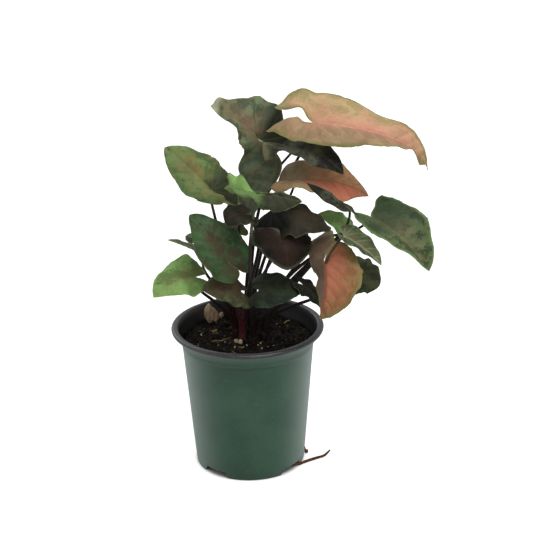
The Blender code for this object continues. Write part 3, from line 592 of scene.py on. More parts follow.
        pulls=[(1, 0.3, 1.0, 10, (0, 0, -4)), (1, -0.3, 1.0, 8, (1, 0, -8))],
        look=dict(ground=(96, 98, 82), blotch=(54, 60, 46), flushLeft=0.1, flushRight=0.1,
            veinStrength=0.1, tip=(34, 40, 30), tipStart=0.6, blotchLeft=0.8, blotchRight=0.8)),
    "leaf_right_small": dict(
        shoot="shoot_right", kind="light", base=(75, -9, 188), tip=(53, -9, 200), half=(10, 10),
        lobe=(6, 6), roll=-30, arch=3, via=(50, 2, 160),
        look=dict(ground=(130, 172, 102), blotch=(90, 128, 68))),
    "leaf_right_low": dict(
        shoot="shoot_right", kind="green", base=(70, -50, 198), tip=(96, -58, 178), half=(14, 8),
        lobe=(6, 4), roll=10, arch=2, fold=(20, 20), heading=(0.1, -0.9, 0.3), via=(66, -8, 200),
        look=dict(ground=(76, 104, 62), vein=(168, 168, 146), veinStrength=0.5, blotch=(46, 62, 40),
            blotchLeft=0.9, blotchRight=0.9, rim=(132, 136, 110), rimWidth=1.2)),
    "leaf_low_right": dict(
        shoot="shoot_front", kind="dusky", base=(41, -34, 155), tip=(54, -38, 137), half=(12, 12),
        lobe=(7, 7), arch=3,
        look=dict(ground=(27, 31, 22), blotch=(20, 24, 18), flushLeft=0.2, flushRight=0.2,
            veinStrength=0.12)),
    "leaf_second_pink": dict(
        shoot="shoot_tall", kind="pink", base=(35, -15, 227), tip=(90, -10, 213), half=(26, 18),
        lobe=(8, 16), roll=12, arch=6, fold=(12, 0), curl=(-20, -30), full=(0.5, 0.5),
        pulls=[(1, 0.65, 1.0, 10, (0, 0, -5)), (1, 0.05, 1.0, 14, (0, 0, 8)),
            (0, 0.6, 1.0, 12, (2, 0, 5.5)), (0, -0.9, 0.2, 8, (-3, 0, -8)),
            (1, -0.8, 0.1, 8, (-1, 0, 3))],
        look=dict(ground=(188, 156, 108), flush=(210, 128, 98), rim=(136, 112, 74), vein=(160, 74, 58),
            blotch=(126, 104, 70), base=(144, 128, 95), baseLeft=1.0, baseRight=0.9, baseEnd=0.2,
            flushLeft=0.3, flushRight=1.0, flushWidth=0.9, tip=(160, 150, 90), flushEnd=1.0,
            tipStart=0.95, veinStrength=0.5)),
    "leaf_back_left": dict(
        shoot="shoot_back", kind="green", base=(-18, 36, 172), tip=(-42, 60, 152), half=(21, 21),
        lobe=(18, 18), arch=6, drop=(3, 3), full=(0.5, 0.5)),
    "leaf_back_middle": dict(
        shoot="shoot_back", kind="pink", base=(6, 44, 194), tip=(10, 86, 170), half=(24, 24),
        lobe=(20, 20), arch=7, drop=(3, 3), full=(0.5, 0.5),
        look=dict(ground=(126, 112, 76), flush=(172, 118, 92), blotch=(96, 104, 66))),
    "leaf_back_right": dict(
        shoot="shoot_back", kind="brown", base=(34, 36, 178), tip=(62, 62, 158), half=(21, 21),
        lobe=(18, 18), arch=6, drop=(3, 3), full=(0.5, 0.5)),
    "leaf_back_low": dict(
        shoot="shoot_back", kind="light", base=(-10, 42, 142), tip=(-18, 68, 126), half=(14, 14),
        lobe=(10, 10)),
}


class Blade:
    # The midrib is bent through base, knee and tip; the two halves spread from it

    def __init__(self, values):
        self.__dict__.update(plainLeaf)
        self.__dict__.update(values)
        self.base = np.array(self.base, float)
        self.tip = np.array(self.tip, float)
        chord = self.tip - self.base
        self.length = np.linalg.norm(chord)
        ahead = chord / self.length
        up = unit(np.array((0.0, 0.0, 1.0)) - ahead * ahead[2])
        side = np.cross(ahead, up)
        roll = math.radians(self.roll)
        self.face = up * math.cos(roll) + side * math.sin(roll)
        self.right = np.cross(ahead, self.face)
        self.knee = (self.base + chord * self.bend + self.face * 2.0 * self.arch
                     + self.right * 2.0 * self.sway)

    def frames(self, u):
        u = u[..., None]
        middle = (1 - u) ** 2 * self.base + 2 * u * (1 - u) * self.knee + u ** 2 * self.tip
        ahead = unit((1 - u) * (self.knee - self.base) + u * (self.tip - self.knee))
        right = unit(np.cross(ahead, self.face))
        return middle, ahead, right, np.cross(right, ahead)

    def flatHalf(self, half):
        # Rows of flat (along, across) points of one half, from the inner edge to the margin
        width = self.half[half]
        cell = bladeForm["cell"]
        lobeRows = max(4, round(self.lobe[half] / cell))
        bladeRows = max(8, round(self.length / cell))
        columns = max(5, round(width / cell))
        ear = mix(earPointed, earRound, self.ear[half])
        ear[:, 1] *= 1.0 - self.flare[half] * ear[:, 0]
        margin = mix(marginSlim, marginFull, self.full[half])
        ear[-1] = margin[0]
        sinus = np.array(sinusLine)
        sinus[0] = ear[0]
        lobeScale = (self.lobe[half], width)
        outerLobe = smoothLine(ear, lobeRows + 1) * lobeScale
        innerLobe = smoothLine(sinus, lobeRows + 1) * lobeScale
        outerBlade = smoothLine(margin, bladeRows + 1) * (self.length, width)
        innerBlade = np.array([(u * self.length, 0.0) for u in np.linspace(0, 1, bladeRows + 1)])
        outer = np.vstack([outerLobe[:-1], outerBlade])
        inner = np.vstack([innerLobe[:-1], innerBlade])
        outer[:, 1] *= self.worn(outer[:, 0], half)
        share = np.linspace(0.0, 1.0, columns + 1)[None, :, None]
        flat = inner[:, None, :] * (1.0 - share) + outer[:, None, :] * share
        border = np.vstack([outer, innerLobe])
        gaps = np.linalg.norm(flat[:, :, None, :] - border[None, None, :, :], axis=-1)
        return flat, gaps.min(axis=2)

    def worn(self, along, half):
        # Small dents and swells of the margin, none at its two ends
        ends = smoothStep(0.0, 5.0, np.minimum(along - along[0], along[-1] - along))
        halves = np.full_like(along, half)
        waves = self.ripples(along, halves, bladeForm["dentStep"], 3.0)
        waves = waves + 0.6 * self.ripples(along, halves, bladeForm["fineDentStep"], 3.0)
        return 1.0 + self.ragged * 2.0 * waves * ends

    def ripples(self, along, across, steps, layer):
        # Soft noise over the flat blade, of its own for each leaf and layer
        values = [noise.noise(Vector((a * steps[0], b * steps[1], self.seed * layer)))
                  for a, b in zip(along.ravel(), across.ravel())]
        return np.array(values).reshape(along.shape)

    def sheet(self, flat, edge, half):
        # The bent middle surface of one half and its normals
        along, across = flat[..., 0], flat[..., 1]
        width = self.half[half]
        sign = (-1.0, 1.0)[half]
        fold = math.radians(self.fold[half])
        curl = math.radians(self.curl[half])
        behind = np.minimum(along, 0.0)[..., None]
        middle, ahead, right, face = self.frames(np.maximum(along, 0.0) / self.length)
        back = (behind / self.lobe[half]) ** 2
        middle = middle + ahead * behind - face * self.drop[half] * back
        middle = middle + right * sign * self.spread[half] * back
        reach = across / width
        out = width / curl * (np.sin(fold + curl * reach) - math.sin(fold))
        rise = width / curl * (math.cos(fold) - np.cos(fold + curl * reach))
        turn = self.waves * along / self.length + bladeForm["waveLag"] * half
        ripple = self.wave * reach ** 2 * np.sin(2.0 * math.pi * turn)
        flutter = self.ripples(along, across * sign, bladeForm["flutterStep"], 7.0)
        crumple = self.ripples(along, across * sign, bladeForm["crumpleStep"], 11.0)
        inside = smoothStep(0.0, 3.0, across) * smoothStep(0.0, 3.0, edge)
        rise = rise + ripple + bladeForm["flutter"] * flutter * reach
        rise = rise + bladeForm["crumple"] * crumple * inside
        points = middle + right * sign * out[..., None] + face * rise[..., None]
        for pullHalf, alongShare, acrossShare, radius, move in self.pulls:
            if pullHalf == half:
                start = alongShare * (self.length if alongShare > 0.0 else self.lobe[half])
                near = np.exp(-(np.hypot(along - start, across - acrossShare * width) / radius) ** 2)
                free = smoothStep(0.0, 4.0, np.hypot(np.minimum(along, 0.0), across))
                points = points + (near * free)[..., None] * np.array(move, float)
        normals = np.cross(np.gradient(points, axis=1), np.gradient(points, axis=0))
        normals = unit(normals * sign)
        broken = np.linalg.norm(normals, axis=-1) < 0.5
        normals[broken] = face[broken]
        normals[:, 0] = np.where(along[:, :1] >= 0.0, face[:, 0], normals[:, 0])
        return points, normals

    def relief(self, along, across, edge):
        # Sunken veins on the upper side, in millimetres
        form = bladeForm
        bend = across ** 2 * veinLayout["bow"]
        straight = along - bend
        start = straight - veinLayout["slope"] * across
        spacing = veinLayout["spacing"]
        pinnate = np.abs((start / spacing + 0.5) % 1.0 - 0.5) * spacing
        pinnate /= math.hypot(1.0, veinLayout["slope"])
        step = veinLayout["fanStep"]
        turn = np.arctan2(across, straight) - math.atan2(1.0, veinLayout["slope"])
        fan = np.hypot(across, straight) * np.abs((turn / step + 0.5) % 1.0 - 0.5) * step
        distance = np.where(start > 0.0, pinnate, fan)
        inner = smoothStep(0.0, form["edgeFade"], edge)
        taper = 1.0 - 0.6 * np.clip(across / max(self.half), 0.0, 1.0)
        valley = form["sideGroove"] * np.exp(-(distance / form["sideWidth"]) ** 2) * taper
        forward = smoothStep(-1.0, 1.0, along)
        thin = 1.0 - 0.7 * np.clip(along / self.length, 0.0, 1.0)
        rib = form["ribGroove"] * np.exp(-(across / form["ribWidth"]) ** 2) * forward * thin
        return (form["quilt"] - valley) * inner - rib, inner, forward * thin

    def seat(self):
        middle, ahead, right, face = self.frames(np.zeros(1))
        heading = np.array(self.heading) if self.heading else 0.45 * ahead[0] + 0.9 * face[0]
        place = middle[0] + ahead[0] * bladeForm["seatAhead"]
        return place - face[0] * bladeForm["seatBelow"], unit(heading)


def addSheet(bm, points, flat, spot, flip):
    # Lays a grid of faces over rows of points and stores the two attributes
    rows, columns = points.shape[0] - 1, points.shape[1] - 1
    flatLayer = bm.verts.layers.float_vector["flat"]
    spotLayer = bm.verts.layers.float_vector["spot"]
    grid = bmesh.ops.create_grid(bm, x_segments=columns, y_segments=rows, size=1.0)
    for vert in grid["verts"]:
        row = round((vert.co.y + 1.0) / 2.0 * rows)
        column = round((vert.co.x + 1.0) / 2.0 * columns)
        vert.co = points[row, column] * mm
        vert[flatLayer] = flat[row, column]
        vert[spotLayer] = spot[row, column]
    if flip:
        faces = {face for vert in grid["verts"] for face in vert.link_faces}
        bmesh.ops.reverse_faces(bm, faces=list(faces))


def newSkin():
    bm = bmesh.new()
    bm.verts.layers.float_vector.new("flat")
    bm.verts.layers.float_vector.new("spot")
    return bm


def addBlade(blade):
    name = pieceName(blade.node)
    bm = newSkin()
    form = bladeForm
    for half in (0, 1):
        sign = (-1.0, 1.0)[half]
        flat, edge = blade.flatHalf(half)
        along, across = flat[..., 0], flat[..., 1]
        points, normals = blade.sheet(flat, edge, half)
        relief, inner, taper = blade.relief(along, across, edge)
        thick = form["thickness"] * inner
        ridge = form["ridge"] * np.exp(-(across / form["ridgeWidth"]) ** 2) * taper * inner
        upper = points + normals * (relief + thick / 2.0)[..., None]
        lower = points + normals * (relief - thick / 2.0 - ridge)[..., None]
        flatRows = np.stack([along, across * sign, edge], axis=-1)
        share = np.where(along >= 0.0, along / blade.length, along / blade.lobe[half])
        reach = np.clip(across / blade.half[half], 0.0, 1.5)
        for skin, under, flip in ((upper, 0.0, half == 0), (lower, 1.0, half == 1)):
            spotRows = np.stack([share, reach, np.full_like(share, under)], axis=-1)
            addSheet(bm, skin, flatRows, spotRows, flip)
    bmesh.ops.remove_doubles(bm, verts=bm.verts, dist=weld)
    bmesh.ops.dissolve_degenerate(bm, edges=bm.edges, dist=weld)
    material = bladeMaterial(name, blade.kind, blade.look, blade.seed)
    return finishPiece(name, bm, [material], [blade.node], sharp=form["sharp"])


def pieceName(node):
    words = node.split("_")
    return words[0] + "".join(word.title() for word in words[1:])


blades = []
for index, node in enumerate(leafTable):
    blade = Blade(dict(leafTable[node], node=node, seed=1.0 + index))
    blades.append(blade)
    addBlade(blade)
print("blades done")


# Stems and leaf stalks

stalkForm = dict(footRadius=1.6, tipRadius=0.85, points=64, sides=12, rise=0.35, reach=0.22,
                 soilHeight=98.0, depth=13.0, sheathRadius=2.5, sheathShare=0.22,
                 stemRadius=2.2, stemSwell=1.0, stemTop=10.0, stemRings=14, stemSides=20,
                 stemFade=(110.0, 140.0), paleFade=(196.0, 206.0),
                 paleStalks={"leaf_folded_light": 1.0, "leaf_left": 0.5, "leaf_low_left": 0.3})
stemPaint = dict(plain=(34, 25, 25), shoot_low=(96, 42, 46), shoot_left=(52, 28, 30))
stalkPaint = dict(stalk=(40, 31, 28), nearLeaf=(62, 62, 46), streak=(84, 80, 56),
                  cloud=(24, 20, 20), pale=(84, 88, 66), paleStreak=(112, 116, 86))


def stalkMaterial(name, stem):
    material, g, shader = newMaterial(name)
    look = tints(stalkPaint)
    place = g.place()
    z = g.split(place)[2]
    share, around, pale = g.split(g.attribute("spot"))
    streak = g.noise(g.join(g.times(around, 3.0), g.times(share, 2.0), z), 3.0)
    cloud = g.noise(place, 90.0)
    shade = g.mix(g.step(z, *metres(stalkForm["stemFade"])), paint(*stem), look["stalk"])
    shade = g.mix(g.step(share, 0.7, 1.0), shade, look["nearLeaf"])
    shade = g.mix(g.times(g.step(streak, 0.5, 0.75), 0.4), shade, look["streak"])
    shade = g.mix(g.times(g.step(cloud, 0.5, 0.75), 0.4), shade, look["cloud"])
    light = g.mix(g.step(streak, 0.4, 0.7), look["pale"], look["paleStreak"])
    shade = g.mix(g.times(pale, g.step(z, *metres(stalkForm["paleFade"]))), shade, light)
    coat(g, shader, shade, g.scaled(cloud, 0.25, 0.36), 0.25, streak, 0.3, 0.2)
    return material


def addTube(bm, points, radii, sides, pale=0.0):
    # A round rod along the points; a radius of zero at its ends closes it.
    # Its spot is (share of the length, place around it, pale or not).
    points = np.array(points, float)
    ahead = unit(np.gradient(points, axis=0))
    side = unit(np.cross(ahead[0], np.array((0.3, 0.9, 0.1))))
    rows = []
    for place, direction in zip(points, ahead):
        side = unit(side - direction * side.dot(direction))
        rows.append((place, side, np.cross(direction, side)))
    turns = np.linspace(0.0, 2.0 * math.pi, sides + 1)
    skin = np.array([[place + (one * math.cos(turn) + two * math.sin(turn)) * radius
                      for turn in turns]
                     for (place, one, two), radius in zip(rows, radii)])
    skin[:, -1] = skin[:, 0]
    run = np.concatenate([[0.0], np.cumsum(np.linalg.norm(np.diff(points, axis=0), axis=1))])
    shape = skin.shape[:2]
    share = np.repeat((run / run[-1])[:, None], shape[1], axis=1)
    around = np.repeat(np.abs(turns / math.pi - 1.0)[None, :], shape[0], axis=0)
    spot = np.stack([share, around, np.full(shape, pale)], axis=-1)
    addSheet(bm, skin, np.zeros(skin.shape), spot, False)


def closedRadii(radii, shoulder=0.75):
    # Rounds both ends of a rod off to a point
    ends = np.array(radii, float)
    ends[[0, -1]] = 0.0
    ends[[1, -2]] *= shoulder
    return ends


def stalkLine(blade):
    form = stalkForm
    footX, footY = shoots[blade.shoot]
    foot = np.array((footX, footY, form["soilHeight"] + 1.0))
    seat, heading = blade.seat()
    span = np.linalg.norm(seat - foot)
    controls = [foot, foot + np.array((0.0, 0.0, form["rise"] * span))]
    if blade.via:
        controls.append(np.array(blade.via, float))
    controls += [seat - heading * form["reach"] * span, seat]
    return np.array([bezier(controls, u) for u in np.linspace(0.0, 1.0, form["points"])])


def addShoot(node):
    form = stalkForm
    bm = newSkin()
    x, y = shoots[node]
    low = form["soilHeight"] - form["depth"]
    heights = np.linspace(low, form["soilHeight"] + form["stemTop"], form["stemRings"])
    swell = [math.sin(math.pi * min(1.0, place * 1.3) * 0.8)
             for place in np.linspace(0.0, 1.0, form["stemRings"])]
    radii = [form["stemRadius"] + form["stemSwell"] * value for value in swell]
    addTube(bm, [(x, y, z) for z in heights], closedRadii(radii), form["stemSides"])
    for blade in blades:
        if blade.shoot != node:
            continue
        line = stalkLine(blade)
        share = np.linspace(0.0, 1.0, len(line))
        radii = form["footRadius"] + (form["tipRadius"] - form["footRadius"]) * share
        sheath = (form["sheathRadius"] - form["footRadius"]) * smoothStep(
            form["sheathShare"], 0.0, share)
        pale = form["paleStalks"].get(blade.node, 0.0)
        addTube(bm, line, closedRadii(radii + sheath), form["sides"], pale)
    seal(bm)
    material = stalkMaterial(pieceName(node), stemPaint.get(node, stemPaint["plain"]))
    return finishPiece(pieceName(node), bm, [material], [node])


for node in shoots:
    addShoot(node)
print("stalks done")


# Pot

potForm = dict(height=110.0, rim=57.0, mouth=52.0, lip=3.5, bodyTop=49.3, bodyTopHeight=97.0,
               base=41.0, wall=1.4, foot=2.4, floorLift=5.6, pad=20.0, steps=144,
               notchAzimuths=(50.0, 140.0, 230.0, 320.0), notchHeight=5.0, notchWidth=23.0,
               notchTop=17.0, notchDepth=8.0, notchBelow=3.0, drainRadius=2.6, drainReach=31.0,
               drainCut=6.0, seam=(93.5, 95.2, 97.2, 96.2), sheenFade=(94.5, 96.5),
               splashHeight=25.0, leftFade=(-15.0, -50.0), rightFade=(20.0, 55.0),
               insideShadeRadius=(52.5, 51.2), insideShadeHeight=(108.5, 105.5))
greenPaint = dict(deep=(38, 74, 56), light=(50, 88, 68), dust=(120, 136, 122),
                  splash=(70, 62, 50), grain=(66, 104, 82), seam=(20, 44, 34),
                  sheen=(178, 198, 190))
blackPaint = dict(plain=(34, 34, 37), dust=(76, 75, 78), sheen=(150, 152, 158),
                  side=(104, 104, 108), inside=(17, 17, 18))


def wallRadius(height):
    share = height / potForm["bodyTopHeight"]
    return potForm["base"] + (potForm["bodyTop"] - potForm["base"]) * share


def arcPoints(centre, radii, start, end, count):
    # Points on an arc of a (radius, height) profile, angles in degrees
    turns = [math.radians(angle) for angle in np.linspace(start, end, count)]
    return [(centre[0] + radii[0] * math.cos(turn), centre[1] + radii[1] * math.sin(turn))
            for turn in turns]


def potProfile():
    form = potForm
    floorTop = form["floorLift"] + form["wall"]
    lipBottom = form["height"] - form["lip"]
    innerLow = wallRadius(floorTop) - form["wall"]
    innerHigh = form["bodyTop"] - form["wall"]
    footInner = form["base"] - form["foot"]
    outer = [(0.0, 0.0), (form["pad"] - 0.4, 0.0), (form["pad"], 0.0),
             (form["pad"] + 2.0, form["floorLift"]), (footInner - 0.8, form["floorLift"])]
    outer += [(footInner, 0.3), (footInner + 0.4, 0.0)]
    outer += arcPoints((form["base"] - 0.8, 0.8), (0.8, 0.8), -90.0, 0.0, 5)
    outer += [(wallRadius(height), height) for height in (12.0, 40.0, 70.0, 94.0)]
    outer += [(form["bodyTop"] - 0.1, 96.2), (form["bodyTop"] + 0.45, 97.0),
              (form["bodyTop"] + 0.65, 98.2), (form["bodyTop"] + 1.2, 101.0),
              (form["mouth"] + 0.4, lipBottom - 3.0), (form["mouth"] + 1.2, lipBottom - 1.2)]
    outer += arcPoints((form["rim"] - 1.9, lipBottom + 1.9), (1.9, 1.9), -100.0, 0.0, 7)
    outer += arcPoints((form["rim"] - 2.0, form["height"] - 1.6), (2.0, 1.6), 5.0, 90.0, 7)
    outer += arcPoints((form["mouth"] + 1.4, form["height"] - 1.6), (1.4, 1.6), 100.0, 180.0, 6)
    outer += [(innerHigh + 1.4, 100.0), (innerHigh, form["bodyTopHeight"]),
              (innerLow, floorTop), (form["pad"] + 0.8, floorTop),
              (form["pad"] - 1.2, form["wall"]), (0.0, form["wall"])]
    return outer


def spinProfile(bm, profile, steps):
    verts = [bm.verts.new((radius * mm, 0.0, height * mm)) for radius, height in profile]
    edges = [bm.edges.new(pair) for pair in zip(verts, verts[1:])]
    bmesh.ops.spin(bm, geom=verts + edges, cent=(0, 0, 0), axis=(0, 0, 1), dvec=(0, 0, 0),
                   angle=2.0 * math.pi, steps=steps, use_merge=True, use_duplicate=False)
    seal(bm, 0.01 * mm)


def notchCutter(azimuth):
    form = potForm
    bm = bmesh.new()
    bmesh.ops.create_cube(bm, size=1.0)
    angle = math.radians(azimuth)
    middle = form["base"] - form["foot"] / 2.0
    slope = (form["notchWidth"] - form["notchTop"]) / form["notchHeight"]
    for vert in bm.verts:
        height = form["notchHeight"] if vert.co.z > 0 else -form["notchBelow"]
        x = vert.co.x * (form["notchWidth"] - slope * height)
        y = middle - vert.co.y * form["notchDepth"]
        vert.co = (mm * (x * math.cos(angle) + y * math.sin(angle)),
                   mm * (x * math.sin(angle) - y * math.cos(angle)), mm * height)
    bmesh.ops.recalc_face_normals(bm, faces=bm.faces)
    return bm


def drainCutter(azimuth):
    form = potForm
    angle = math.radians(azimuth)
    bm = bmesh.new()
    radius = form["drainRadius"] * mm
    bmesh.ops.create_cone(bm, cap_ends=True, segments=24, radius1=radius, radius2=radius,
                          depth=form["drainCut"] * mm)
    reach = form["drainReach"] * mm
    middle = (reach * math.sin(angle), -reach * math.cos(angle), form["drainCut"] * mm)
    bmesh.ops.translate(bm, verts=bm.verts, vec=middle)
    return bm


def cutAway(bm, cutters):
    # Takes the cutters' space out of the bmesh and returns the result as a new one
    scene = bpy.context.scene.collection
    mesh = bpy.data.meshes.new("work")
    bm.to_mesh(mesh)
    bm.free()
    item = bpy.data.objects.new("work", mesh)
    scene.objects.link(item)
    group = bpy.data.collections.new("cutters")
    scene.children.link(group)
    tools = []
    for cutter in cutters:
        toolMesh = bpy.data.meshes.new("cutter")
        cutter.to_mesh(toolMesh)
        cutter.free()
        tools.append(bpy.data.objects.new("cutter", toolMesh))
        group.objects.link(tools[-1])
    step = item.modifiers.new("Cut", "BOOLEAN")
    step.operand_type = "COLLECTION"
    step.collection = group
    step.solver = "EXACT"
    bpy.context.view_layer.update()
    graph = bpy.context.evaluated_depsgraph_get()
    result = bmesh.new()
    result.from_mesh(item.evaluated_get(graph).to_mesh())
    for old in [item] + tools:
        bpy.data.objects.remove(old, do_unlink=True)
    bpy.data.collections.remove(group)
    return result


def greenPlastic():
    material, g, shader = newMaterial("potGreen")
    look = tints(greenPaint)
    low, lowFull, high, highFull = metres(potForm["seam"])
    sheenLow, sheenHigh = metres(potForm["sheenFade"])
    place = g.place()
    z = g.split(place)[2]
    cloud = g.noise(place, 30.0)
    grain = g.noise(place, 900.0, 2.0)
    dust = g.noise(place, 160.0, 4.0, 0.65)
    shade = g.mix(g.step(cloud, 0.35, 0.7), look["deep"], look["light"])
    shade = g.mix(g.times(g.step(dust, 0.6, 0.8), 0.3), shade, look["dust"])
    splash = g.times(g.step(z, potForm["splashHeight"] * mm, 0.0), g.step(dust, 0.45, 0.7))
    shade = g.mix(g.times(splash, 0.5), shade, look["splash"])
    shade = g.mix(g.step(grain, 0.4, 0.62, 0.0, 0.22), shade, look["grain"])
    # Painted shade: a darker band just under the flared step below the lip
    seam = g.times(g.step(z, low, lowFull), g.step(z, high, highFull))
    shade = g.mix(g.times(seam, 0.5), shade, look["seam"])
    # Painted reflection: a pale sheen colour at grazing angles stands for the white surroundings mirrored
    # in the edges, weaker near the top
    facing = g.add("ShaderNodeLayerWeight").outputs["Facing"]
    grazing = g.times(g.step(facing, 0.16, 1.05, 0.0, 0.75),
                      g.step(z, sheenLow, sheenHigh, 1.0, 0.35))
    shade = g.mix(grazing, shade, look["sheen"])
    coat(g, shader, shade, g.scaled(dust, 0.2, 0.3), 0.5, g.plus(grain, cloud), 0.2, 0.1)
    return material


def blackPlastic():
    material, g, shader = newMaterial("potBlack")
    look = tints(blackPaint)
    place = g.place()
    x, y, z = g.split(place)
    dust = g.noise(place, 220.0, 4.0, 0.65)
    grain = g.noise(place, 1100.0, 2.0)
    shade = g.mix(g.step(dust, 0.5, 0.78), look["plain"], look["dust"])
    # Painted reflection: a pale sheen colour at grazing angles
    facing = g.add("ShaderNodeLayerWeight").outputs["Facing"]
    shade = g.mix(g.step(facing, 0.2, 1.05, 0.0, 0.35), shade, look["sheen"])
    # Painted light: the black plastic is painted lighter towards the left and, less, towards the right
    side = g.math("MAXIMUM", g.step(x, *metres(potForm["leftFade"]), 0.0, 0.4),
                  g.step(x, *metres(potForm["rightFade"]), 0.0, 0.15))
    shade = g.mix(side, shade, look["side"])
    # Painted shade: the inner wall of the mouth is painted darker below the rim
    inside = g.times(g.step(g.hypot(x, y), *metres(potForm["insideShadeRadius"])),
                     g.step(z, *metres(potForm["insideShadeHeight"])))
    shade = g.mix(inside, shade, look["inside"])
    coat(g, shader, shade, g.scaled(dust, 0.25, 0.28), 0.8, grain, 0.2, 0.1)
    return material


def addPot():
    form = potForm
    bm = bmesh.new()
    spinProfile(bm, potProfile(), form["steps"])
    cutters = [notchCutter(azimuth) for azimuth in form["notchAzimuths"]]
    cutters += [drainCutter(azimuth) for azimuth in form["notchAzimuths"]]
    bm = cutAway(bm, cutters)
    lipBottom = (form["height"] - form["lip"]) * mm
    for face in bm.faces:
        centre = face.calc_center_median()
        outward = face.normal.x * centre.x + face.normal.y * centre.y
        skin = (wallRadius(centre.z / mm) - 0.5) * mm
        outside = outward > 0.0 and math.hypot(centre.x, centre.y) > skin
        green = outside and 0.2 * mm < centre.z < lipBottom - 0.9 * mm
        face.material_index = 0 if green else 1
    return finishPiece("nurseryPot", bm, [greenPlastic(), blackPlastic()], ["pot"], sharp=35.0)


addPot()
print("pot done")


# Soil and what lies on it

soilForm = dict(height=98.0, swell=1.6, radius=47.0, floor=7.4, rings=84, steps=220, crumbs=1500,
                beads=90, straws=36, strawSteps=9)
soilPaint = dict(dark=(27, 25, 23), light=(56, 49, 41), fibre=(60, 48, 38))

# Beads as (x, y, size) and straws as (x, y, length, angle, radius), where the photo shows them
bigBeads = ((-5.5, -10.0, 1.7), (-8.5, -7.5, 1.4), (-0.7, -13.5, 0.9), (7.6, -12.0, 0.9),
            (10.6, -16.5, 1.0), (-9.6, -18.0, 0.9), (-17.0, -6.0, 0.8), (-35.0, 6.0, 0.8),
            (-22.0, -12.0, 0.8))
redBead = (-9.1, -15.6, 0.8)
bigStraws = ((30.5, 27.0, 8.0, 35.0, 0.5), (-23.0, -5.0, 9.0, 10.0, 0.5),
             (-18.0, -2.0, 6.0, 40.0, 0.4), (-25.0, 12.0, 4.0, -20.0, 1.1),
             (-3.5, -19.0, 5.0, 12.0, 0.5), (-6.5, -17.0, 3.0, 70.0, 0.4))


def soilHeight(x, y):
    # Low bumps with the same swell as the solid below
    reach = math.hypot(x, y) / 44.0
    bumps = math.sin(0.11 * x + 0.6) * math.cos(0.13 * y - 0.4) + 0.6 * math.sin(0.21 * (x - y))
    swell = soilForm["swell"] * (0.35 * bumps + 0.4) * max(0.0, 1.0 - reach ** 2)
    rough = noise.fractal(Vector((x * 0.22, y * 0.22, 3.0)), 0.6, 2.1, 5)
    lump = noise.noise(Vector((x * 0.07, y * 0.07, 9.0)))
    return soilForm["height"] + swell + 1.1 * rough + 1.4 * lump


def soilMaterial():
    material, g, shader = newMaterial("pottingSoil")
    look = tints(soilPaint)
    place = g.place()
    big = g.noise(place, 120.0, 4.0, 0.6)
    small = g.noise(place, 520.0, 5.0, 0.7)
    shade = g.mix(g.step(big, 0.35, 0.7), look["dark"], look["light"])
    shade = g.mix(g.step(small, 0.58, 0.78), shade, look["fibre"])
    coat(g, shader, shade, 0.92, 0.2, small, 0.9, 1.2)
    return material


def addSoil(material):
    form = soilForm
    bm = bmesh.new()
    top = [(form["radius"] * ring / form["rings"], form["height"])
           for ring in range(form["rings"] + 1)]
    profile = top + [(wallRadius(form["floor"]) - potForm["wall"] - 0.6, form["floor"]),
                     (0.0, form["floor"])]
    spinProfile(bm, profile, form["steps"])
    for vert in bm.verts:
        if vert.co.z > form["height"] / 2.0 * mm:
            vert.co.z = soilHeight(vert.co.x / mm, vert.co.y / mm) * mm
    return finishPiece("soilBody", bm, [material], ["soil"])


def addCrumb(bm, place, size, rng, rounds=1):
    turn = Matrix.Rotation(rng.uniform(0, 6.28), 4, (rng.random(), rng.random(), 1.0))
    scale = Matrix.Diagonal([size * mm * rng.uniform(0.6, 1.3) for axis in range(3)] + [1.0])
    spot = Matrix.Translation([value * mm for value in place])
    made = bmesh.ops.create_icosphere(bm, subdivisions=rounds, radius=1.0,
                                      matrix=spot @ turn @ scale)
    for vert in made["verts"]:
        vert.co += Vector([rng.uniform(-0.16, 0.16) * size * mm for axis in range(3)])


def soilSpot(rng, reach=0.97):
    angle = rng.uniform(0.0, 2.0 * math.pi)
    radius = soilForm["radius"] * reach * math.sqrt(rng.random())
    return radius * math.cos(angle), radius * math.sin(angle)


def addCrumbs(material):
    rng = random.Random(11)
    bm = bmesh.new()
    for count in range(soilForm["crumbs"]):
        x, y = soilSpot(rng)
        size = 0.35 + 1.5 * rng.random() ** 3
        addCrumb(bm, (x, y, soilHeight(x, y) + 0.25 * size), size, rng, 1 if size < 0.9 else 2)
    return finishPiece("soilCrumbs", bm, [material])


def addPerlite():
    # White beads of perlite, the larger ones first
    rng = random.Random(5)
    bm = bmesh.new()
    for x, y, size in bigBeads:
        addCrumb(bm, (x, y, soilHeight(x, y) + 0.5 * size), size, rng, 2)
    for count in range(soilForm["beads"]):
        x, y = soilSpot(rng)
        size = 0.3 + 0.5 * rng.random() ** 2
        addCrumb(bm, (x, y, soilHeight(x, y) + 0.4 * size), size, rng)
    material = grainMaterial("perliteWhite", (222, 214, 176), (172, 158, 116))
    return finishPiece("perlite", bm, [material])


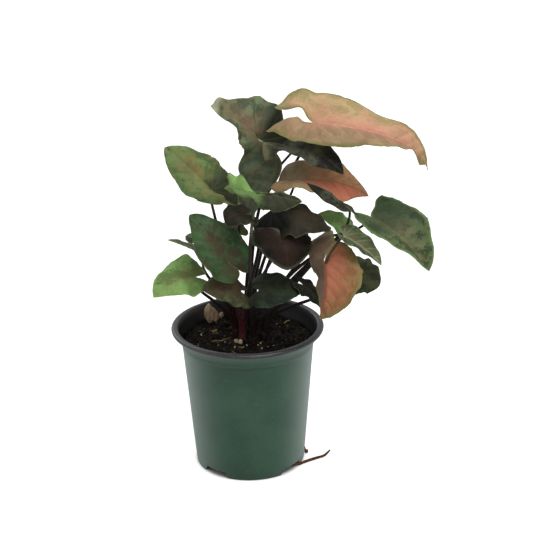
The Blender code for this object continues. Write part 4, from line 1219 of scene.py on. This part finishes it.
def addStraw():
    # Short pale fibres and bark splinters, lying on the soil
    rng = random.Random(23)
    bm = newSkin()
    steps = soilForm["strawSteps"]
    placed = list(bigStraws)
    for count in range(soilForm["straws"]):
        x, y = soilSpot(rng, 0.9)
        placed.append((x, y, rng.uniform(2.0, 4.5), rng.uniform(0.0, 180.0),
                       rng.uniform(0.18, 0.32)))
    for x, y, length, angle, radius in placed:
        turn = math.radians(angle)
        bow = rng.uniform(-0.8, 0.8)
        line = []
        for share in np.linspace(-0.5, 0.5, steps):
            side = bow * (1.0 - 4.0 * share ** 2)
            px = x + length * share * math.cos(turn) - side * math.sin(turn)
            py = y + length * share * math.sin(turn) + side * math.cos(turn)
            line.append((px, py, soilHeight(px, py) + radius + 0.5))
        addTube(bm, line, closedRadii([radius] * steps), 6)
    seal(bm)
    material = grainMaterial("strawTan", (176, 148, 104), (120, 96, 66))
    return finishPiece("straw", bm, [material])


def addRedBead():
    # The one red grain near the front rim
    x, y, size = redBead
    bm = bmesh.new()
    addCrumb(bm, (x, y, soilHeight(x, y) + 0.5 * size), size, random.Random(3), 3)
    material = grainMaterial("grainRed", (196, 40, 56), (140, 30, 40))
    return finishPiece("redBead", bm, [material])


pottingSoil = soilMaterial()
addSoil(pottingSoil)
addCrumbs(pottingSoil)
addPerlite()
addStraw()
addRedBead()
print("soil done")


# Bark flakes

barkForms = [
    dict(node="bark_chip", place=(-28.0, 31.0), size=(9.5, 5.0, 20.0), turn=(12.0, -24.0, 20.0),
         sink=3.0),
    dict(node="bark_chip_small", place=(-21.0, 40.0), size=(4.0, 3.0, 6.0), turn=(0.0, 20.0, 50.0),
         sink=1.0),
]


def addBark(form, material):
    bm = bmesh.new()
    bmesh.ops.create_icosphere(bm, subdivisions=5, radius=1.0)
    for vert in bm.verts:
        x, y, z = vert.co
        worn = 1.0 + 0.10 * math.sin(3.1 * x + 2.0 * z) + 0.08 * math.cos(4.3 * z - y)
        flake = 0.06 * noise.fractal(Vector((x * 2.0, y * 2.0, z * 2.0)), 0.8, 2.0, 4)
        vert.co = (math.copysign(abs(x) ** 0.8, x) * (worn + flake),
                   math.copysign(abs(y) ** 0.7, y) * (1.0 + flake),
                   math.copysign(abs(z) ** 0.9, z) * (1.0 + 0.10 * math.sin(5.0 * x) + flake))
    bmesh.ops.scale(bm, verts=bm.verts, vec=[value / 2.0 * mm for value in form["size"]])
    turns = [math.radians(angle) for angle in form["turn"]]
    spin = (Matrix.Rotation(turns[2], 4, "Z") @ Matrix.Rotation(turns[1], 4, "Y")
            @ Matrix.Rotation(turns[0], 4, "X"))
    lift = soilForm["height"] + form["size"][2] / 2.0 - form["sink"]
    x, y = form["place"]
    bm.transform(Matrix.Translation((x * mm, y * mm, lift * mm)) @ spin)
    return finishPiece(pieceName(form["node"]), bm, [material], [form["node"]])


barkTan = grainMaterial("barkTan", (180, 148, 116), (236, 204, 170), scale=420.0, detail=5.0,
                        softness=0.55, stretch=0.3, low=0.35, high=0.65, relief=0.7, depth=0.6)
for form in barkForms:
    addBark(form, barkTan)
print("bark done")


# Root on the floor

rootForm = dict(
    points=((19, -15, 16), (21.5, -18, 10), (24.5, -20, 5.5), (29, -20.5, 3), (36, -19, 1.6),
            (41.5, -15, 1.45), (46, -12, 1.45), (51, -9, 1.45), (56, -6, 1.4), (59, -1, 1.3),
            (61.5, 4, 1.2)),
    radii=(1.1, 1.1, 1.1, 1.1, 1.1, 1.15, 1.15, 1.1, 1.0, 0.85, 0.55), steps=150, knots=0.25,
    branch=((19.9, 23.7, 12), (20.5, 24.5, 6), (24, 28, 2.6), (30.5, 31, 1.3), (36.5, 24, 1.2),
            (40, 15, 1.2), (41.9, 7, 1.2), (42.4, 1, 1.2), (43.6, -0.5, 2.0), (43.4, 1, 4.0)),
    branchRadius=0.95, branchTaper=0.25, branchSteps=50)


def addRoot():
    form = rootForm
    bm = newSkin()
    line = smoothLine(form["points"], form["steps"])
    radii = smoothLine([(value,) for value in form["radii"]], form["steps"])[:, 0]
    lumps = [noise.fractal(Vector((place * 0.35, 0.0, 4.0)), 0.7, 2.0, 3)
             for place in range(form["steps"])]
    radii = closedRadii(radii * (1.0 + form["knots"] * np.array(lumps)))
    addTube(bm, line, radii, 10)
    branch = smoothLine(form["branch"], form["branchSteps"])
    share = np.linspace(0.0, 1.0, form["branchSteps"])
    taper = form["branchRadius"] * (1.0 - form["branchTaper"] * share)
    addTube(bm, branch, closedRadii(taper), 8)
    seal(bm)
    material = grainMaterial("rootBrown", (38, 20, 14), (134, 74, 32), scale=700.0, low=0.35,
                             rough=0.8, relief=0.6, depth=0.4)
    return finishPiece("floorRoot", bm, [material], ["root"])


addRoot()
print("root done")


# Floor, light and camera

stageForm = dict(floor=8.0, cameraPlace=(0.01507, -1.21117, 0.63909), pitch=21.74, roll=1.15,
                 lens=119.35, clipStart=0.01, worldLight=0.45, worldShine=0.4, floorGlow=0.75,
                 footShade=(0.038, 0.044), aim=(0.0, 0.0, 0.15),
                 # Each lamp has a name, a place, a size and a power
                 lamps=(("keyAbove", (0.35, -0.25, 1.3), 0.9, 9.0),
                        ("fillFront", (0.4, -1.3, 0.8), 0.8, 2.5),
                        ("fillBack", (-0.7, 1.1, 0.9), 0.8, 3.0)))


def addStage():
    bm = bmesh.new()
    bmesh.ops.create_grid(bm, x_segments=1, y_segments=1, size=stageForm["floor"] / 2.0)
    mesh = bpy.data.meshes.new("floor")
    bm.to_mesh(mesh)
    bm.free()
    floor = bpy.data.objects.new("floor", mesh)
    bpy.context.scene.collection.objects.link(floor)
    material, g, shader = newMaterial("floorWhite")
    seen = g.add("ShaderNodeLightPath").outputs["Is Camera Ray"]
    x, y = g.split(g.place())[:2]
    glow = g.step(g.hypot(x, y), *stageForm["footShade"], 0.0, stageForm["floorGlow"])
    g.feed(shader.inputs, {"Base Color": (0.7, 0.7, 0.7), "Roughness": 0.8,
                           "Specular IOR Level": 0.0, "Emission Color": (1.0, 1.0, 1.0),
                           "Emission Strength": g.times(seen, glow)})
    mesh.materials.append(material)


def addLamp(name, place, size, power):
    lamp = bpy.data.lights.new(name, "AREA")
    lamp.size = size
    lamp.energy = power
    item = bpy.data.objects.new(name, lamp)
    item.location = place
    toward = Vector(stageForm["aim"]) - Vector(place)
    item.rotation_euler = toward.to_track_quat("-Z", "Y").to_euler()
    bpy.context.scene.collection.objects.link(item)


def addLights():
    world = bpy.data.worlds.new("studio")
    world.use_nodes = True
    background = world.node_tree.nodes["Background"]
    g = Graph(world.node_tree)
    mirrored = g.add("ShaderNodeLightPath").outputs["Is Glossy Ray"]
    more = stageForm["worldShine"] - stageForm["worldLight"]
    strength = g.scaled(mirrored, more, stageForm["worldLight"])
    g.feed(background.inputs, {"Color": (1.0, 1.0, 1.0), "Strength": strength})
    bpy.context.scene.world = world
    for lamp in stageForm["lamps"]:
        addLamp(*lamp)


def addCamera():
    pitch, roll = math.radians(stageForm["pitch"]), math.radians(stageForm["roll"])
    ahead = Vector((0.0, math.cos(pitch), -math.sin(pitch)))
    level = Vector((1.0, 0.0, 0.0))
    above = level.cross(ahead)
    right = level * math.cos(roll) - above * math.sin(roll)
    up = above * math.cos(roll) + level * math.sin(roll)
    view = Matrix((right, up, -ahead)).transposed().to_4x4()
    view.translation = Vector(stageForm["cameraPlace"])
    data = bpy.data.cameras.new("photoView")
    data.lens = stageForm["lens"]
    data.clip_start = stageForm["clipStart"]
    camera = bpy.data.objects.new("photoView", data)
    camera.matrix_world = view
    bpy.context.scene.collection.objects.link(camera)
    bpy.context.scene.camera = camera


addStage()
addLights()
addCamera()
bpy.context.scene.view_settings.view_transform = "Standard"
print("stage done")
